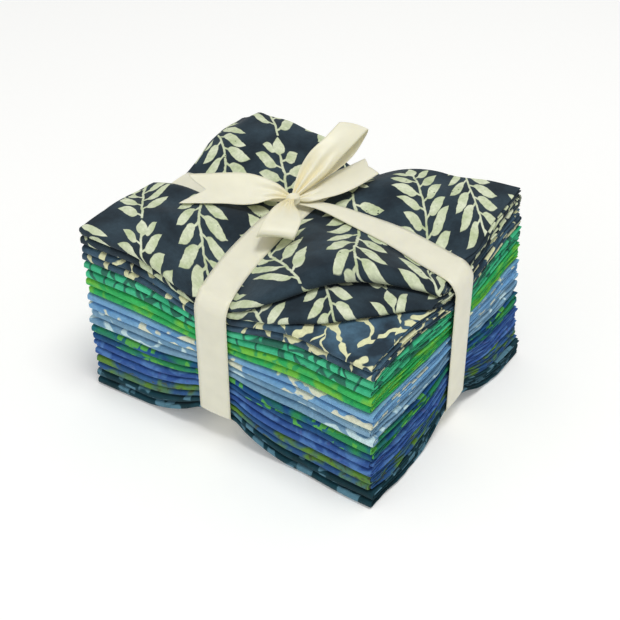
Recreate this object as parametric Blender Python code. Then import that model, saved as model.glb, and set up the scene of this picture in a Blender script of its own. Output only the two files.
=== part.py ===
"""A bundle of ten fat quarters, folded into flat packs, stacked and tied both ways with a satin bow.

All sizes are in millimetres and become metres when a mesh is made. The tables are laid out from the
middle of the stack's footprint, and ORIGIN_X moves the finished pieces so that the origin is the middle
of the whole bundle's box, on the surface it stands on. +X runs along the stack's long side, the rounded
folds face -Y, and the cut ends of the layers face +X and -X.
"""

from collections import namedtuple

import bmesh
import bpy
from mathutils import Vector

MM = 0.001
# The cut ends flare more at one end, so the middle of the box lies this far along X.
ORIGIN_X = 2.0

# A fat quarter is cut 22 by 18 inches and folded to a quarter of each side.
PACK_LONG = 559.0 / 4
PACK_SHORT = 457.0 / 4
STACK_HIGH = 80.0
PANELS = 4

# How much of a panel's pitch is cloth: the rest is the gap to the panel above.
CLOTH_SHARE = 0.74
# The rounded folds and the cut ends start this far inside the footprint.
FOLD_DEEP = 2.0
END_DEEP = 3.9
# Where its folds are drawn back, the top quarter stands a little off the one below.
LIFT_WHERE_DRAWN = 1.0
# Rows that a drawn-back fold pushes together stay this far apart.
ROW_APART = 1.5

# The ribbon, its gap to what it lies on, and how it sinks into the stack.
RIBBON_WIDE = 15.0
RIBBON_THICK = 1.0
GAP = 0.35
BAND_HALF = RIBBON_WIDE / 2 + 0.25
BAND_A_X = -6.8
BAND_B_Y = 3.2
PINCH_POWER = 1.6
TOP_SPREAD = 31.0
BASE_SPREAD_A = 29.0
BASE_SPREAD_B = 22.0
# A band sinks into the top, or lifts the base, this far at the middle and this much more at each edge.
TOP_SINK = 6.0
SINK_MORE_A = 5.4
SINK_MORE_B_LEFT = 3.6
SINK_MORE_B_RIGHT = 1.6
BASE_RISE = 4.0
RISE_MORE_A = 8.0
RISE_MORE_B = 4.6
# How the top quarter's swelling falls off towards its rim.
RIM_DROP = 0.5
RIM_POWER = 6
# A band stands off the rounded folds and off the cut ends, and turns its corners by these steps.
OFF_FOLDS = 0.9
OFF_LEFT_END = 1.0
OFF_RIGHT_END = 1.4
TURN_IN = 0.3
TURN_DROP = 0.02
SHOULDER = 1.5
# The most that a corner of a band is mitred: the least cosine of half its turn.
MITRE = 0.6
# A rounded fold has three points, the outer two at 45 degrees.
SLANT = 0.7071

# The places across the stack where every layer has a row of points.
HALF_X = PACK_LONG / 2
HALF_Y = PACK_SHORT / 2
END_X = HALF_X - END_DEEP
FOLD_Y = HALF_Y - FOLD_DEEP
LINES_X = (-END_X, -44.0, -26.0, BAND_A_X - BAND_HALF, BAND_A_X + BAND_HALF, 13.0, 33.0, END_X)
LINES_Y = (-FOLD_Y, -30.0, BAND_B_Y - BAND_HALF, BAND_B_Y + BAND_HALF, 33.0, FOLD_Y)

# The knot sits where the two bands cross.
KNOT_AT = (-10.5, 8.0)
KNOT_HALF = (3.0, 2.8, 2.5)
KNOT_SQUARED = 0.12

Quarter = namedtuple("Quarter", "name colour upper_fold lower_fold back left right")
# From the bottom up. The five reaches are how far each edge stands out past the footprint.
QUARTERS = (
    Quarter("quarter_10_teal", (0.012, 0.050, 0.070), 0.2, 0.8, 0.4, -1.0, 6.0),
    Quarter("quarter_09_olive", (0.140, 0.230, 0.060), 0.4, -0.2, 0.0, -0.4, 4.2),
    Quarter("quarter_08_periwinkle", (0.080, 0.170, 0.480), 0.0, 0.5, 0.5, 0.2, 3.4),
    Quarter("quarter_07_blue_green", (0.030, 0.180, 0.260), 0.6, 0.1, -0.3, 0.0, 3.0),
    Quarter("quarter_06_grey_blue", (0.260, 0.360, 0.540), -0.2, 0.4, 0.3, 0.5, 2.2),
    Quarter("quarter_05_sky", (0.270, 0.480, 0.660), 0.3, 0.7, 0.0, 0.2, 1.6),
    Quarter("quarter_04_lime", (0.080, 0.480, 0.050), 0.7, 0.0, 0.4, 0.9, 1.6),
    Quarter("quarter_03_emerald", (0.020, 0.380, 0.170), 0.1, 0.5, 0.2, 0.6, 1.0),
    Quarter("quarter_02_slate", (0.035, 0.090, 0.140), 0.5, 0.0, -0.2, 1.0, 0.6),
    Quarter("quarter_01_leaf", (0.025, 0.045, 0.065), 0.4, 0.8, 0.4, 1.6, -0.4),
)
TOP = len(QUARTERS) - 1

Corner = namedtuple("Corner", "left_front left_back right_front right_back")
CORNER_HIGH = Corner(81.0, 79.0, 80.0, 84.5)
LOBE_PUFF = Corner(1.5, 2.0, 5.5, 2.0)

Station = namedtuple("Station", "at value")
# The bands bow aside a little where they cross, and run straight over the edges.
BAND_A_PATH = (
    Station(-57.0, -6.6),
    Station(-40.0, -9.4),
    Station(-16.0, -10.6),
    Station(8.0, -10.5),
    Station(30.0, -8.6),
    Station(57.0, -5.2),
)
BAND_B_PATH = (
    Station(-70.0, 2.6),
    Station(-40.0, 4.6),
    Station(-10.5, 8.0),
    Station(18.0, 12.0),
    Station(38.0, 10.8),
    Station(54.0, 7.0),
    Station(70.0, 3.9),
)
# Band B is drawn together where it goes into the knot.
BAND_B_WIDTH = (
    Station(-66.0, 15.0),
    Station(-44.0, 14.0),
    Station(-26.0, 10.0),
    Station(-14.0, 5.0),
    Station(1.0, 5.0),
    Station(13.0, 8.5),
    Station(33.0, 12.5),
    Station(66.0, 15.0),
)

Front = namedtuple("Front", "x upper lower")
# The top quarter's two folds are drawn back from the near corner.
TOP_FRONT = (
    Front(-70.0, -FOLD_Y, -FOLD_Y),
    Front(1.0, -FOLD_Y, -FOLD_Y),
    Front(13.0, -52.0, -54.5),
    Front(33.0, -31.5, -49.5),
    Front(66.0, -13.0, -22.0),
    Front(70.0, -13.0, -22.0),
)
# The cut ends flare out past the footprint, but not at the near corner or under the ribbon.
RIGHT_FLARE = (
    Station(-FOLD_Y, 0.05),
    Station(-30.0, 0.85),
    Station(-4.6, 0.1),
    Station(11.0, 0.1),
    Station(33.0, 0.7),
    Station(FOLD_Y, 1.0),
)

Row = namedtuple("Row", "left right")
LOOP_BACK = (
    Row((-12.4, 11.5, 81.8), (-8.4, 11.9, 81.8)),
    Row((-14.5, 18.8, 87.0), (-3.6, 23.9, 85.5)),
    Row((-13.4, 25.0, 92.0), (-2.4, 32.0, 89.0)),
    Row((-10.8, 33.4, 96.0), (-0.6, 40.2, 92.5)),
    Row((-9.8, 42.4, 98.6), (0.6, 48.6, 95.2)),
    Row((-10.6, 45.0, 97.2), (-0.2, 51.2, 93.8)),
    Row((-11.4, 44.6, 94.6), (-0.8, 50.6, 91.4)),
    Row((-14.0, 38.0, 89.0), (-1.4, 42.6, 86.6)),
    Row((-15.6, 30.0, 85.6), (-3.0, 33.6, 83.8)),
    Row((-15.0, 20.8, 82.6), (-5.0, 23.4, 81.8)),
    Row((-12.4, 11.5, 80.1), (-8.4, 11.9, 80.1)),
)
LOOP_FRONT = (
    Row((-12.3, 4.6, 81.4), (-8.6, 4.5, 81.4)),
    Row((-11.4, -2.4, 84.6), (-4.4, -1.4, 84.0)),
    Row((-10.6, -11.0, 86.6), (0.6, -6.9, 85.6)),
    Row((-9.6, -19.6, 87.0), (4.2, -13.6, 85.8)),
    Row((-9.2, -25.4, 85.8), (5.0, -18.8, 84.2)),
    Row((-9.4, -28.0, 83.6), (4.8, -21.4, 82.0)),
    Row((-10.2, -27.2, 81.2), (4.2, -20.4, 79.8)),
    Row((-11.8, -20.4, 79.4), (3.0, -14.4, 79.0)),
    Row((-12.9, -9.6, 79.2), (0.2, -5.4, 79.0)),
    Row((-12.6, -2.6, 79.4), (-4.8, -0.8, 79.3)),
    Row((-12.3, 4.6, 79.7), (-8.6, 4.5, 79.7)),
)
TAIL_LEFT = (
    Row((-14.0, 9.8, 80.9), (-14.0, 6.6, 79.8)),
    Row((-18.4, 8.8, 83.6), (-16.8, 1.6, 79.6)),
    Row((-25.6, 7.6, 85.2), (-20.8, -4.6, 79.3)),
    Row((-32.6, 6.0, 85.6), (-26.2, -6.2, 79.1)),
    Row((-40.0, 4.2, 84.8), (-32.6, -8.0, 79.0)),
    Row((-48.6, 1.2, 82.6), (-40.4, -11.8, 79.4)),
)
TAIL_LEFT_TIP = (Row((-59.6, -5.4, 79.8), (-49.0, -18.8, 79.8)), (-48.6, -4.6, 80.6))
TAIL_RIGHT = (
    Row((-7.6, 11.0, 79.5), (-6.7, 8.2, 79.3)),
    Row((-7.0, 18.0, 79.3), (-3.4, 10.6, 79.7)),
    Row((-6.2, 26.4, 79.2), (1.2, 15.0, 80.3)),
    Row((-5.0, 33.0, 79.1), (4.8, 20.4, 80.7)),
    Row((-3.2, 40.0, 79.0), (7.6, 28.4, 80.9)),
)
TAIL_RIGHT_TIP = (Row((-1.6, 51.6, 78.9), (10.8, 42.0, 80.9)), (4.6, 40.4, 79.9))
SATIN_COLOUR = (0.860, 0.800, 0.680)
SATIN_ROUGHNESS = 0.45
COTTON_ROUGHNESS = 0.85


def along(stations, at):
    """The value at a place between the rows of a table of stations."""
    if at <= stations[0].at:
        return stations[0].value
    for low, high in zip(stations, stations[1:]):
        if at <= high.at:
            return low.value + (high.value - low.value) * (at - low.at) / (high.at - low.at)
    return stations[-1].value


def blend(corners, x, y):
    """A corner table's value at a place, straight between the four corners."""
    s = (x / HALF_X + 1) / 2
    t = (y / HALF_Y + 1) / 2
    front = corners.left_front * (1 - s) + corners.right_front * s
    back = corners.left_back * (1 - s) + corners.right_back * s
    return front * (1 - t) + back * t


def pinch(distance, spread):
    """How strongly a band draws the cloth in: 1 under it, and 0 past its spread."""
    outside = max(abs(distance) - BAND_HALF, 0.0)
    return max(0.0, 1 - outside / spread) ** PINCH_POWER


def base_height(x, y):
    """The underside of the stack: flat on its four lobes, arched up along the two bands."""
    rise_a = BASE_RISE + RISE_MORE_A * (y / HALF_Y) ** 2
    rise_b = BASE_RISE + RISE_MORE_B * (x / HALF_X) ** 2
    arch_a = rise_a * pinch(x - BAND_A_X, BASE_SPREAD_A)
    arch_b = rise_b * pinch(y - BAND_B_Y, BASE_SPREAD_B)
    return max(arch_a, arch_b)


def drawn_height(x, y):
    """The top of the stack as the bands draw it down, before the top quarter puffs up."""
    more_b = SINK_MORE_B_LEFT if x < 0 else SINK_MORE_B_RIGHT
    sink_a = TOP_SINK + SINK_MORE_A * (y / HALF_Y) ** 2
    sink_b = TOP_SINK + more_b * (x / HALF_X) ** 2
    sunk_a = sink_a * pinch(x - BAND_A_X, TOP_SPREAD)
    sunk_b = sink_b * pinch(y - BAND_B_Y, TOP_SPREAD)
    return blend(CORNER_HIGH, x, y) - max(sunk_a, sunk_b)


def puff(x, y):
    """How much the top quarter swells between the bands."""
    lobes = (
        (LOBE_PUFF.left_front, LOBE_PUFF.left_back),
        (LOBE_PUFF.right_front, LOBE_PUFF.right_back),
    )
    height = lobes[x > BAND_A_X][y > BAND_B_Y]
    free = (1 - pinch(x - BAND_A_X, TOP_SPREAD)) * (1 - pinch(y - BAND_B_Y, TOP_SPREAD))
    rim = 1 - RIM_DROP * max(abs(x) / HALF_X, abs(y) / HALF_Y) ** RIM_POWER
    return height * free * rim


def level(x, y, share):
    """The height of a layer, where share runs from 0 at the base to 1 at the top of the stack."""
    base = base_height(x, y)
    top = drawn_height(x, y)
    below = TOP / len(QUARTERS)
    height = base + (top - base) * share
    if share > below:
        height += puff(x, y) * (share - below) / (1 - below)
    return height


def place(x, y):
    """Moves a place with the bands, which bow aside where they cross."""
    off_a = max(abs(x - BAND_A_X) - BAND_HALF, 0.0)
    off_b = max(abs(y - BAND_B_Y) - BAND_HALF, 0.0)
    room_x = END_X - BAND_HALF - abs(BAND_A_X)
    room_y = FOLD_Y - BAND_HALF - abs(BAND_B_Y)
    follow_a = max(0.0, 1 - off_a / room_x)
    follow_b = max(0.0, 1 - off_b / room_y)
    return (
        x + (along(BAND_A_PATH, y) - BAND_A_X) * follow_a,
        y + (along(BAND_B_PATH, x) - BAND_B_Y) * follow_b,
    )


def layer_height(x, y, share):
    """A layer's height on one of LINES_X, straight between the rows of LINES_Y as its facets are."""
    x = min(max(x, -END_X), END_X)
    y = min(max(y, -FOLD_Y), FOLD_Y)
    for low, high in zip(LINES_Y, LINES_Y[1:]):
        if y <= high:
            t = (y - low) / (high - low)
            return level(x, low, share) * (1 - t) + level(x, high, share) * t
    return level(x, FOLD_Y, share)


def collection(name):
    """A new collection in the scene."""
    group = bpy.data.collections.new(name)
    bpy.context.scene.collection.children.link(group)
    return group


def cloth(name, colour, roughness):
    """A plain material for one piece."""
    material = bpy.data.materials.new(name)
    material.use_nodes = True
    shader = material.node_tree.nodes["Principled BSDF"]
    shader.inputs["Base Color"].default_value = (*colour, 1.0)
    shader.inputs["Roughness"].default_value = roughness
    shader.inputs["Metallic"].default_value = 0.0
    return material


def solid(group, name, points, faces, material):
    """A closed mesh object from points in millimetres, its faces turned outwards."""
    mesh = bpy.data.meshes.new(name)
    mesh.from_pydata([((x - ORIGIN_X) * MM, y * MM, z * MM) for x, y, z in points], [], faces)
    bm = bmesh.new()
    bm.from_mesh(mesh)
    bmesh.ops.recalc_face_normals(bm, faces=bm.faces)
    bm.to_mesh(mesh)
    bm.free()
    mesh.materials.append(material)
    item = bpy.data.objects.new(name, mesh)
    group.objects.link(item)
    return item


def arc(fold_y, reach, middle, half):
    """Three points round a fold, as places along Y and layer shares."""
    return [
        (fold_y + reach * SLANT, middle + half * SLANT),
        (fold_y + reach, middle),
        (fold_y + reach * SLANT, middle - half * SLANT),
    ]


def pack_outline(k, front_upper, front_lower):
    """The back-and-forth section of one folded quarter, as places along Y and layer shares.

    It runs along the outside of the fold from the top panel's cut end to the bottom panel's cut end,
    and back along the inside.
    """
    q = QUARTERS[k]
    pitch = 1 / (len(QUARTERS) * PANELS - 1 + CLOTH_SHARE)
    half = pitch * CLOTH_SHARE / 2
    middles = [(k * PANELS + p) * pitch + half for p in range(PANELS)]
    cut = HALF_Y + q.back

    def rows(front):
        return [max(y, front + i * ROW_APART) for i, y in enumerate(LINES_Y)]

    upper = rows(front_upper)
    lower = rows(front_lower)
    over, under = upper + [cut], lower + [cut]
    wide = pitch / 2 + half
    turn_upper = (middles[3] + middles[2]) / 2
    turn_back = (middles[2] + middles[1]) / 2
    turn_lower = (middles[1] + middles[0]) / 2
    bulge = FOLD_DEEP
    path = [(y, middles[3] + half) for y in reversed(over)]
    path += arc(front_upper, -(bulge + q.upper_fold), turn_upper, wide)
    path += [(y, middles[2] - half) for y in upper]
    path += [(y, middles[1] + half) for y in reversed(lower)]
    path += arc(front_lower, -(bulge + q.lower_fold), turn_lower, wide)
    path += [(y, middles[0] - half) for y in under]
    path += [(y, middles[0] + half) for y in reversed(under)]
    path += [(y, middles[1] - half) for y in lower]
    path += reversed(arc(FOLD_Y, bulge, turn_back, wide))
    path += [(y, middles[2] + half) for y in reversed(upper)]
    path += [(y, middles[3] - half) for y in over]
    return path


def cut_end_faces():
    """The triangles that close a section, panel by panel and fold by fold."""
    n = len(LINES_Y)
    runs = []
    start = 0
    for length in (n + 1, 3, n, n, 3, n + 1, n + 1, n, 3, n, n + 1):
        runs.append(list(range(start, start + length)))
        start += length
    top_3, fold_3, under_2, top_1, fold_1, under_0, top_0, under_1, fold_2, top_2, under_3 = runs
    faces = []
    for one, two in ((top_3, under_3), (under_2, top_2), (top_1, under_1), (under_0, top_0)):
        two = two[::-1]
        for i in range(len(one) - 1):
            faces += [(one[i], one[i + 1], two[i + 1]), (one[i], two[i + 1], two[i])]
    folds = (
        [top_3[-1], *fold_3, under_2[0], top_2[-1], under_3[0]],
        [under_2[-1], top_1[0], under_1[-1], *fold_2, top_2[0]],
        [top_1[-1], *fold_1, under_0[0], top_0[-1], under_1[0]],
    )
    for fold in folds:
        faces += [(fold[0], fold[i], fold[i + 1]) for i in range(1, len(fold) - 1)]
    return faces


def front_of(k, x):
    """Where the upper and the lower fold of a quarter start, at a place along X."""
    if k < TOP:
        return -FOLD_Y, -FOLD_Y
    for low, high in zip(TOP_FRONT, TOP_FRONT[1:]):
        if x <= high.x:
            t = (x - low.x) / (high.x - low.x)
            upper = low.upper + (high.upper - low.upper) * t
            lower = low.lower + (high.lower - low.lower) * t
            return upper, lower
    return TOP_FRONT[-1].upper, TOP_FRONT[-1].lower


def make_quarter(group, k):
    """One folded quarter: its section carried from the left cut end to the right one."""
    q = QUARTERS[k]
    stations = [-HALF_X] + list(LINES_X) + [HALF_X]
    rings = []
    outline = None
    for x in stations:
        line = min(max(x, -END_X), END_X)
        outline = pack_outline(k, *front_of(k, line))
        ring = []
        for y, share in outline:
            past = 0.0
            if x > END_X:
                past = q.right * along(RIGHT_FLARE, y)
            if x < -END_X:
                past = -q.left * along(RIGHT_FLARE, -abs(y))
            height = layer_height(line, y, share)
            if k == TOP:
                drawn = (front_of(k, line)[0] + FOLD_Y) / FOLD_Y
                height += LIFT_WHERE_DRAWN * drawn * (1 - share) * len(QUARTERS)
            px, py = place(line, y)
            ring.append((px + (x - line) + past, py, height))
        rings.append(ring)
    points = [p for ring in rings for p in ring]
    count = len(outline)
    faces = []
    for i in range(len(stations) - 1):
        for m in range(count):
            n = (m + 1) % count
            a, b = i * count + m, i * count + n
            c, d = a + count, b + count
            if outline[n][0] >= outline[m][0]:
                faces += [(a, d, b), (a, c, d)]
            else:
                faces += [(a, c, b), (b, c, d)]
    for first in (0, len(points) - count):
        faces += [tuple(first + v for v in t) for t in cut_end_faces()]
    return solid(group, q.name, points, faces, cloth(q.name, q.colour, COTTON_ROUGHNESS))


def ring_path(top, base, low_end, high_end):
    """The inner line of a band round the stack, from tables of (along, height) rows."""
    high_top, high_base = top[-1][1], base[-1][1]
    low_top, low_base = top[0][1], base[0][1]
    path = list(top)
    path += [(high_end - TURN_IN, high_top - TURN_DROP), (high_end, high_top - SHOULDER)]
    path += [(high_end, (high_top + high_base) / 2)]
    path += [(high_end, high_base + SHOULDER), (high_end - TURN_IN, high_base + TURN_DROP)]
    path += list(reversed(base))
    path += [(low_end + TURN_IN, low_base + TURN_DROP), (low_end, low_base + SHOULDER)]
    path += [(low_end, (low_top + low_base) / 2)]
    path += [(low_end, low_top - SHOULDER), (low_end + TURN_IN, low_top - TURN_DROP)]
    return path


def outward(path, thick):
    """A closed line again, moved outwards by a thickness."""
    moved = []
    for i, (a, b) in enumerate(path):
        before = Vector(path[i - 1])
        after = Vector(path[(i + 1) % len(path)])
        here = Vector((a, b))
        one = (here - before).normalized()
        two = (after - here).normalized()
        side = Vector((-one.y - two.y, one.x + two.x)).normalized()
        spread = max(MITRE, side.dot(Vector((-one.y, one.x))))
        moved.append(tuple(here + side * thick / spread))
    return moved


def band_faces(rows):
    """The faces of a closed band whose rows hold two inner and two outer points."""
    faces = []
    for i in range(rows):
        j = (i + 1) % rows
        for m in range(4):
            n = (m + 1) % 4
            faces.append((4 * i + m, 4 * i + n, 4 * j + n))
            faces.append((4 * i + m, 4 * j + n, 4 * j + m))
    return faces


def make_band_a(group, material):
    """The band round the stack's short way, over the rounded folds, under the other on the top."""
    half = RIBBON_WIDE / 2
    top = [(y, level(BAND_A_X, y, 1.0) + GAP) for y in LINES_Y]
    base = [(y, level(BAND_A_X, y, 0.0) - GAP) for y in LINES_Y]
    inner = ring_path(top, base, -HALF_Y - OFF_FOLDS, HALF_Y + OFF_FOLDS)
    outer = outward(inner, RIBBON_THICK)
    points = []
    for (y, z), (far_y, far_z) in zip(inner, outer):
        for py, pz, side in ((y, z, -half), (y, z, half), (far_y, far_z, half), (far_y, far_z, -half)):
            tilt = level(BAND_A_X + side, y, 1.0) - level(BAND_A_X, y, 1.0) if z > STACK_HIGH / 2 else 0.0
            px, shifted = place(BAND_A_X + side, py)
            points.append((px, shifted, pz + tilt))
    return solid(group, "ribbon_band_a", points, band_faces(len(inner)), material)


def make_band_b(group, material):
    """The band round the stack's long way, drawn together at the knot and outermost at both crossings."""
    over = GAP + RIBBON_THICK + GAP
    crossing = (LINES_X[3], LINES_X[4])
    top = [(x, level(x, BAND_B_Y, 1.0) + (over if x in crossing else GAP)) for x in LINES_X]
    base = [(x, level(x, BAND_B_Y, 0.0) - (over if x in crossing else GAP)) for x in LINES_X]
    inner = ring_path(top, base, -HALF_X - OFF_LEFT_END, HALF_X + OFF_RIGHT_END)
    outer = outward(inner, RIBBON_THICK)
    points = []
    for (x, z), (far_x, far_z) in zip(inner, outer):
        half = RIBBON_WIDE / 2
        if z > STACK_HIGH / 2:
            half = along(BAND_B_WIDTH, x) / 2
        for qx, pz, side in ((x, z, -half), (x, z, half), (far_x, far_z, half), (far_x, far_z, -half)):
            shifted, py = place(qx, BAND_B_Y + side)
            points.append((shifted, py, pz))
    return solid(group, "ribbon_band_b", points, band_faces(len(inner)), material)


def make_strip(group, name, rows, material, tip=None):
    """A length of ribbon from its rows of edge points, with a V cut where it has a tip."""
    lefts = [Vector(r.left) for r in rows]
    rights = [Vector(r.right) for r in rows]
    half = RIBBON_THICK / 2
    points = []
    for i, (left, right) in enumerate(zip(lefts, rights)):
        before = max(i - 1, 0)
        after = min(i + 1, len(rows) - 1)
        run = (lefts[after] + rights[after]) - (lefts[before] + rights[before])
        up = run.cross(left - right).normalized() * half
        points += [left + up, right + up, right - up, left - up]
    faces = [(0, 1, 2), (0, 2, 3)]
    for i in range(len(rows) - 1):
        for m in range(4):
            n = (m + 1) % 4
            faces.append((4 * i + m, 4 * i + n, 4 * i + 4 + n))
            faces.append((4 * i + m, 4 * i + 4 + n, 4 * i + 4 + m))
    last = 4 * (len(rows) - 1)
    if tip is None:
        faces += [(last, last + 1, last + 2), (last, last + 2, last + 3)]
        return solid(group, name, points, faces, material)
    ends, notch = tip
    left, right, middle = Vector(ends.left), Vector(ends.right), Vector(notch)
    run = (left + right) - (lefts[-1] + rights[-1])
    up = run.cross(left - right).normalized() * half
    points += [left + up, right + up, right - up, left - up, middle + up, middle - up]
    t = last + 4
    faces += [(last, last + 1, t + 4), (last + 1, t + 1, t + 4), (last, t + 4, t)]
    faces += [(last + 3, t + 5, last + 2), (last + 2, t + 5, t + 2), (last + 3, t + 3, t + 5)]
    faces += [(last, t, t + 3), (last, t + 3, last + 3)]
    faces += [(last + 1, last + 2, t + 2), (last + 1, t + 2, t + 1)]
    faces += [(t, t + 4, t + 5), (t, t + 5, t + 3), (t + 4, t + 1, t + 2), (t + 4, t + 2, t + 5)]
    return solid(group, name, points, faces, material)


def make_knot(group, material):
    """The small pulled knot that holds the loops and the tails, on top of the crossing."""
    seat = level(BAND_A_X, BAND_B_Y, 1.0) + 3 * GAP + 2 * RIBBON_THICK
    bpy.ops.mesh.primitive_uv_sphere_add(segments=12, ring_count=8, radius=1.0)
    knot = bpy.context.object
    knot.name = "ribbon_knot"
    bm = bmesh.new()
    bm.from_mesh(knot.data)
    for vert in bm.verts:
        x, y, z = vert.co
        squared = 1 + KNOT_SQUARED * (abs(x * y) + abs(y * z) + abs(z * x))
        vert.co = Vector(
            (
                (KNOT_AT[0] + x * squared * KNOT_HALF[0] - ORIGIN_X) * MM,
                (KNOT_AT[1] + y * squared * KNOT_HALF[1]) * MM,
                (seat + (1 + z) * KNOT_HALF[2]) * MM,
            )
        )
    bm.to_mesh(knot.data)
    bm.free()
    knot.data.shade_smooth()
    knot.data.materials.append(material)
    for other in list(knot.users_collection):
        other.objects.unlink(knot)
    group.objects.link(knot)
    return knot


def main():
    for item in list(bpy.data.objects):
        bpy.data.objects.remove(item)
    bundle = collection("fat_quarter_bundle")
    for k in range(len(QUARTERS)):
        make_quarter(bundle, k)
    names = ("band_a", "band_b", "loop_back", "loop_front", "tail_left", "tail_right", "knot")
    satin = {n: cloth("satin_" + n, SATIN_COLOUR, SATIN_ROUGHNESS) for n in names}
    make_band_a(bundle, satin["band_a"])
    make_band_b(bundle, satin["band_b"])
    make_strip(bundle, "bow_loop_back", LOOP_BACK, satin["loop_back"])
    make_strip(bundle, "bow_loop_front", LOOP_FRONT, satin["loop_front"])
    make_strip(bundle, "bow_tail_left", TAIL_LEFT, satin["tail_left"], TAIL_LEFT_TIP)
    make_strip(bundle, "bow_tail_right", TAIL_RIGHT, satin["tail_right"], TAIL_RIGHT_TIP)
    make_knot(bundle, satin["knot"])


main()
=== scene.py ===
"""Looks for a bundle of ten fat quarters, folded, stacked and tied both ways with a satin bow.

Sizes are worked out in millimetres from the middle of the stack's footprint, with +X along the long side
and the rounded folds facing -Y. ORIGIN_X moves the finished meshes into the part's frame, in metres.
"""

import logging
import math
from collections.abc import Mapping, Sequence
from dataclasses import dataclass, field
from enum import Enum

import bpy
import numpy as np
from mathutils import Matrix, Vector


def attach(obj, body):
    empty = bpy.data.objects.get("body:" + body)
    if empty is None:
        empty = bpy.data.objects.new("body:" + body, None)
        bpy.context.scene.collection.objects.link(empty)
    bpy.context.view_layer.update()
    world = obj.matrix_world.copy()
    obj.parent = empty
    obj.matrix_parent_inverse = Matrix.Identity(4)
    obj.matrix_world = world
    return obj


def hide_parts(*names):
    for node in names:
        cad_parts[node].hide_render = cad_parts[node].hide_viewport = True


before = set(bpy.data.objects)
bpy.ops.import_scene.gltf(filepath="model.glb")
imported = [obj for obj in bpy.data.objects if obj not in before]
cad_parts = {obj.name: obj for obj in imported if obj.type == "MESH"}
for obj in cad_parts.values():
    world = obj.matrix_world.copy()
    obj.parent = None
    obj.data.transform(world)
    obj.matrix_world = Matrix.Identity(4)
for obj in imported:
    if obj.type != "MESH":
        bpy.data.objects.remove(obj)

LOG = logging.getLogger("fat_quarter_bundle")

MM = 0.001
ORIGIN_X = 2.0
UV_NAME = "cloth"
# The point attribute that holds where warm bounce light is painted into the bow's pleats.
PAINTED_BOUNCE_NAME = "painted_bounce"
RIBBON_WIDE = 15.0
RIBBON_THICK = 0.22

Array = np.ndarray
Feed = bpy.types.Node | bpy.types.NodeSocket | float | str | tuple[float, ...] | None
Station = tuple[float, float]
Point = tuple[float, float, float]
Pair = tuple[Array, Array]
Piece = bpy.types.Object


def linear(colour: str) -> tuple[float, float, float, float]:
    """Turns an sRGB hex colour to linear light.

    Args:
        colour: Six hex digits, with or without a leading hash.

    Returns:
        Linear red, green, blue and an alpha of one.
    """
    digits = colour.lstrip("#")
    parts = [int(digits[i : i + 2], 16) / 255 for i in (0, 2, 4)]
    light = [c / 12.92 if c <= 0.04045 else ((c + 0.055) / 1.055) ** 2.4 for c in parts]
    return (light[0], light[1], light[2], 1.0)


def curve(stations: Sequence[Station], at: Array | float) -> Array:
    """Reads a smooth curve through a table of stations.

    Args:
        stations: Pairs of a place and the value there, in order of place.
        at: The places to read, which are held between the first and the last station.

    Returns:
        The curve's value at each place.
    """
    places, values = np.array(stations, float).T
    slopes = np.gradient(values, places)
    at = np.asarray(at, float)
    i = np.clip(np.searchsorted(places, at) - 1, 0, len(places) - 2)
    width = places[i + 1] - places[i]
    t = np.clip((at - places[i]) / width, 0.0, 1.0)
    rise = t * t * (3 - 2 * t)
    start = t * (1 - t) ** 2 * slopes[i] * width
    end = t * t * (t - 1) * slopes[i + 1] * width
    return values[i] * (1 - rise) + values[i + 1] * rise + start + end


def smooth(low: float, high: float, at: Array) -> Array:
    """Rises smoothly from 0 at one place to 1 at another."""
    t = np.clip((np.asarray(at, float) - low) / (high - low), 0.0, 1.0)
    return t * t * (3 - 2 * t)


def ripple(seed: int, along: Array, across: Array | float, length: float) -> Array:
    """Sums a few seeded waves into a soft, uneven line or surface.

    Args:
        seed: Chooses the waves.
        along: Place in millimetres.
        across: Second place in millimetres, for a surface.
        length: The middle wavelength in millimetres.

    Returns:
        Values of about -1 to 1.
    """
    chance = np.random.RandomState(seed)
    total = np.zeros(np.broadcast(np.asarray(along, float), np.asarray(across, float)).shape)
    for i in range(4):
        turn = chance.uniform(0, math.tau)
        wave = length * chance.uniform(0.6, 1.7)
        phase = chance.uniform(0, math.tau)
        way = math.cos(turn) * along + math.sin(turn) * across
        total += np.sin(way * math.tau / wave + phase)
    # Four such waves seldom add up to more than 2.8.
    return total / 2.8


@dataclass(frozen=True)
class Swell:
    """A soft ridge, dome or hollow in the top quarter: its middle, its height and its half lengths."""

    x: float
    y: float
    high: float
    long: float
    wide: float
    turned: float = 0.0

    def height(self, x: Array, y: Array) -> Array:
        """The swell's height at places on the stack.

        Args:
            x: Places along the stack's long side.
            y: Places along its short side.

        Returns:
            Heights in millimetres.
        """
        turn = math.radians(self.turned)
        along = ((x - self.x) * math.cos(turn) + (y - self.y) * math.sin(turn)) / self.long
        across = ((y - self.y) * math.cos(turn) - (x - self.x) * math.sin(turn)) / self.wide
        return self.high * np.exp(-along * along - across * across)


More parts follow.
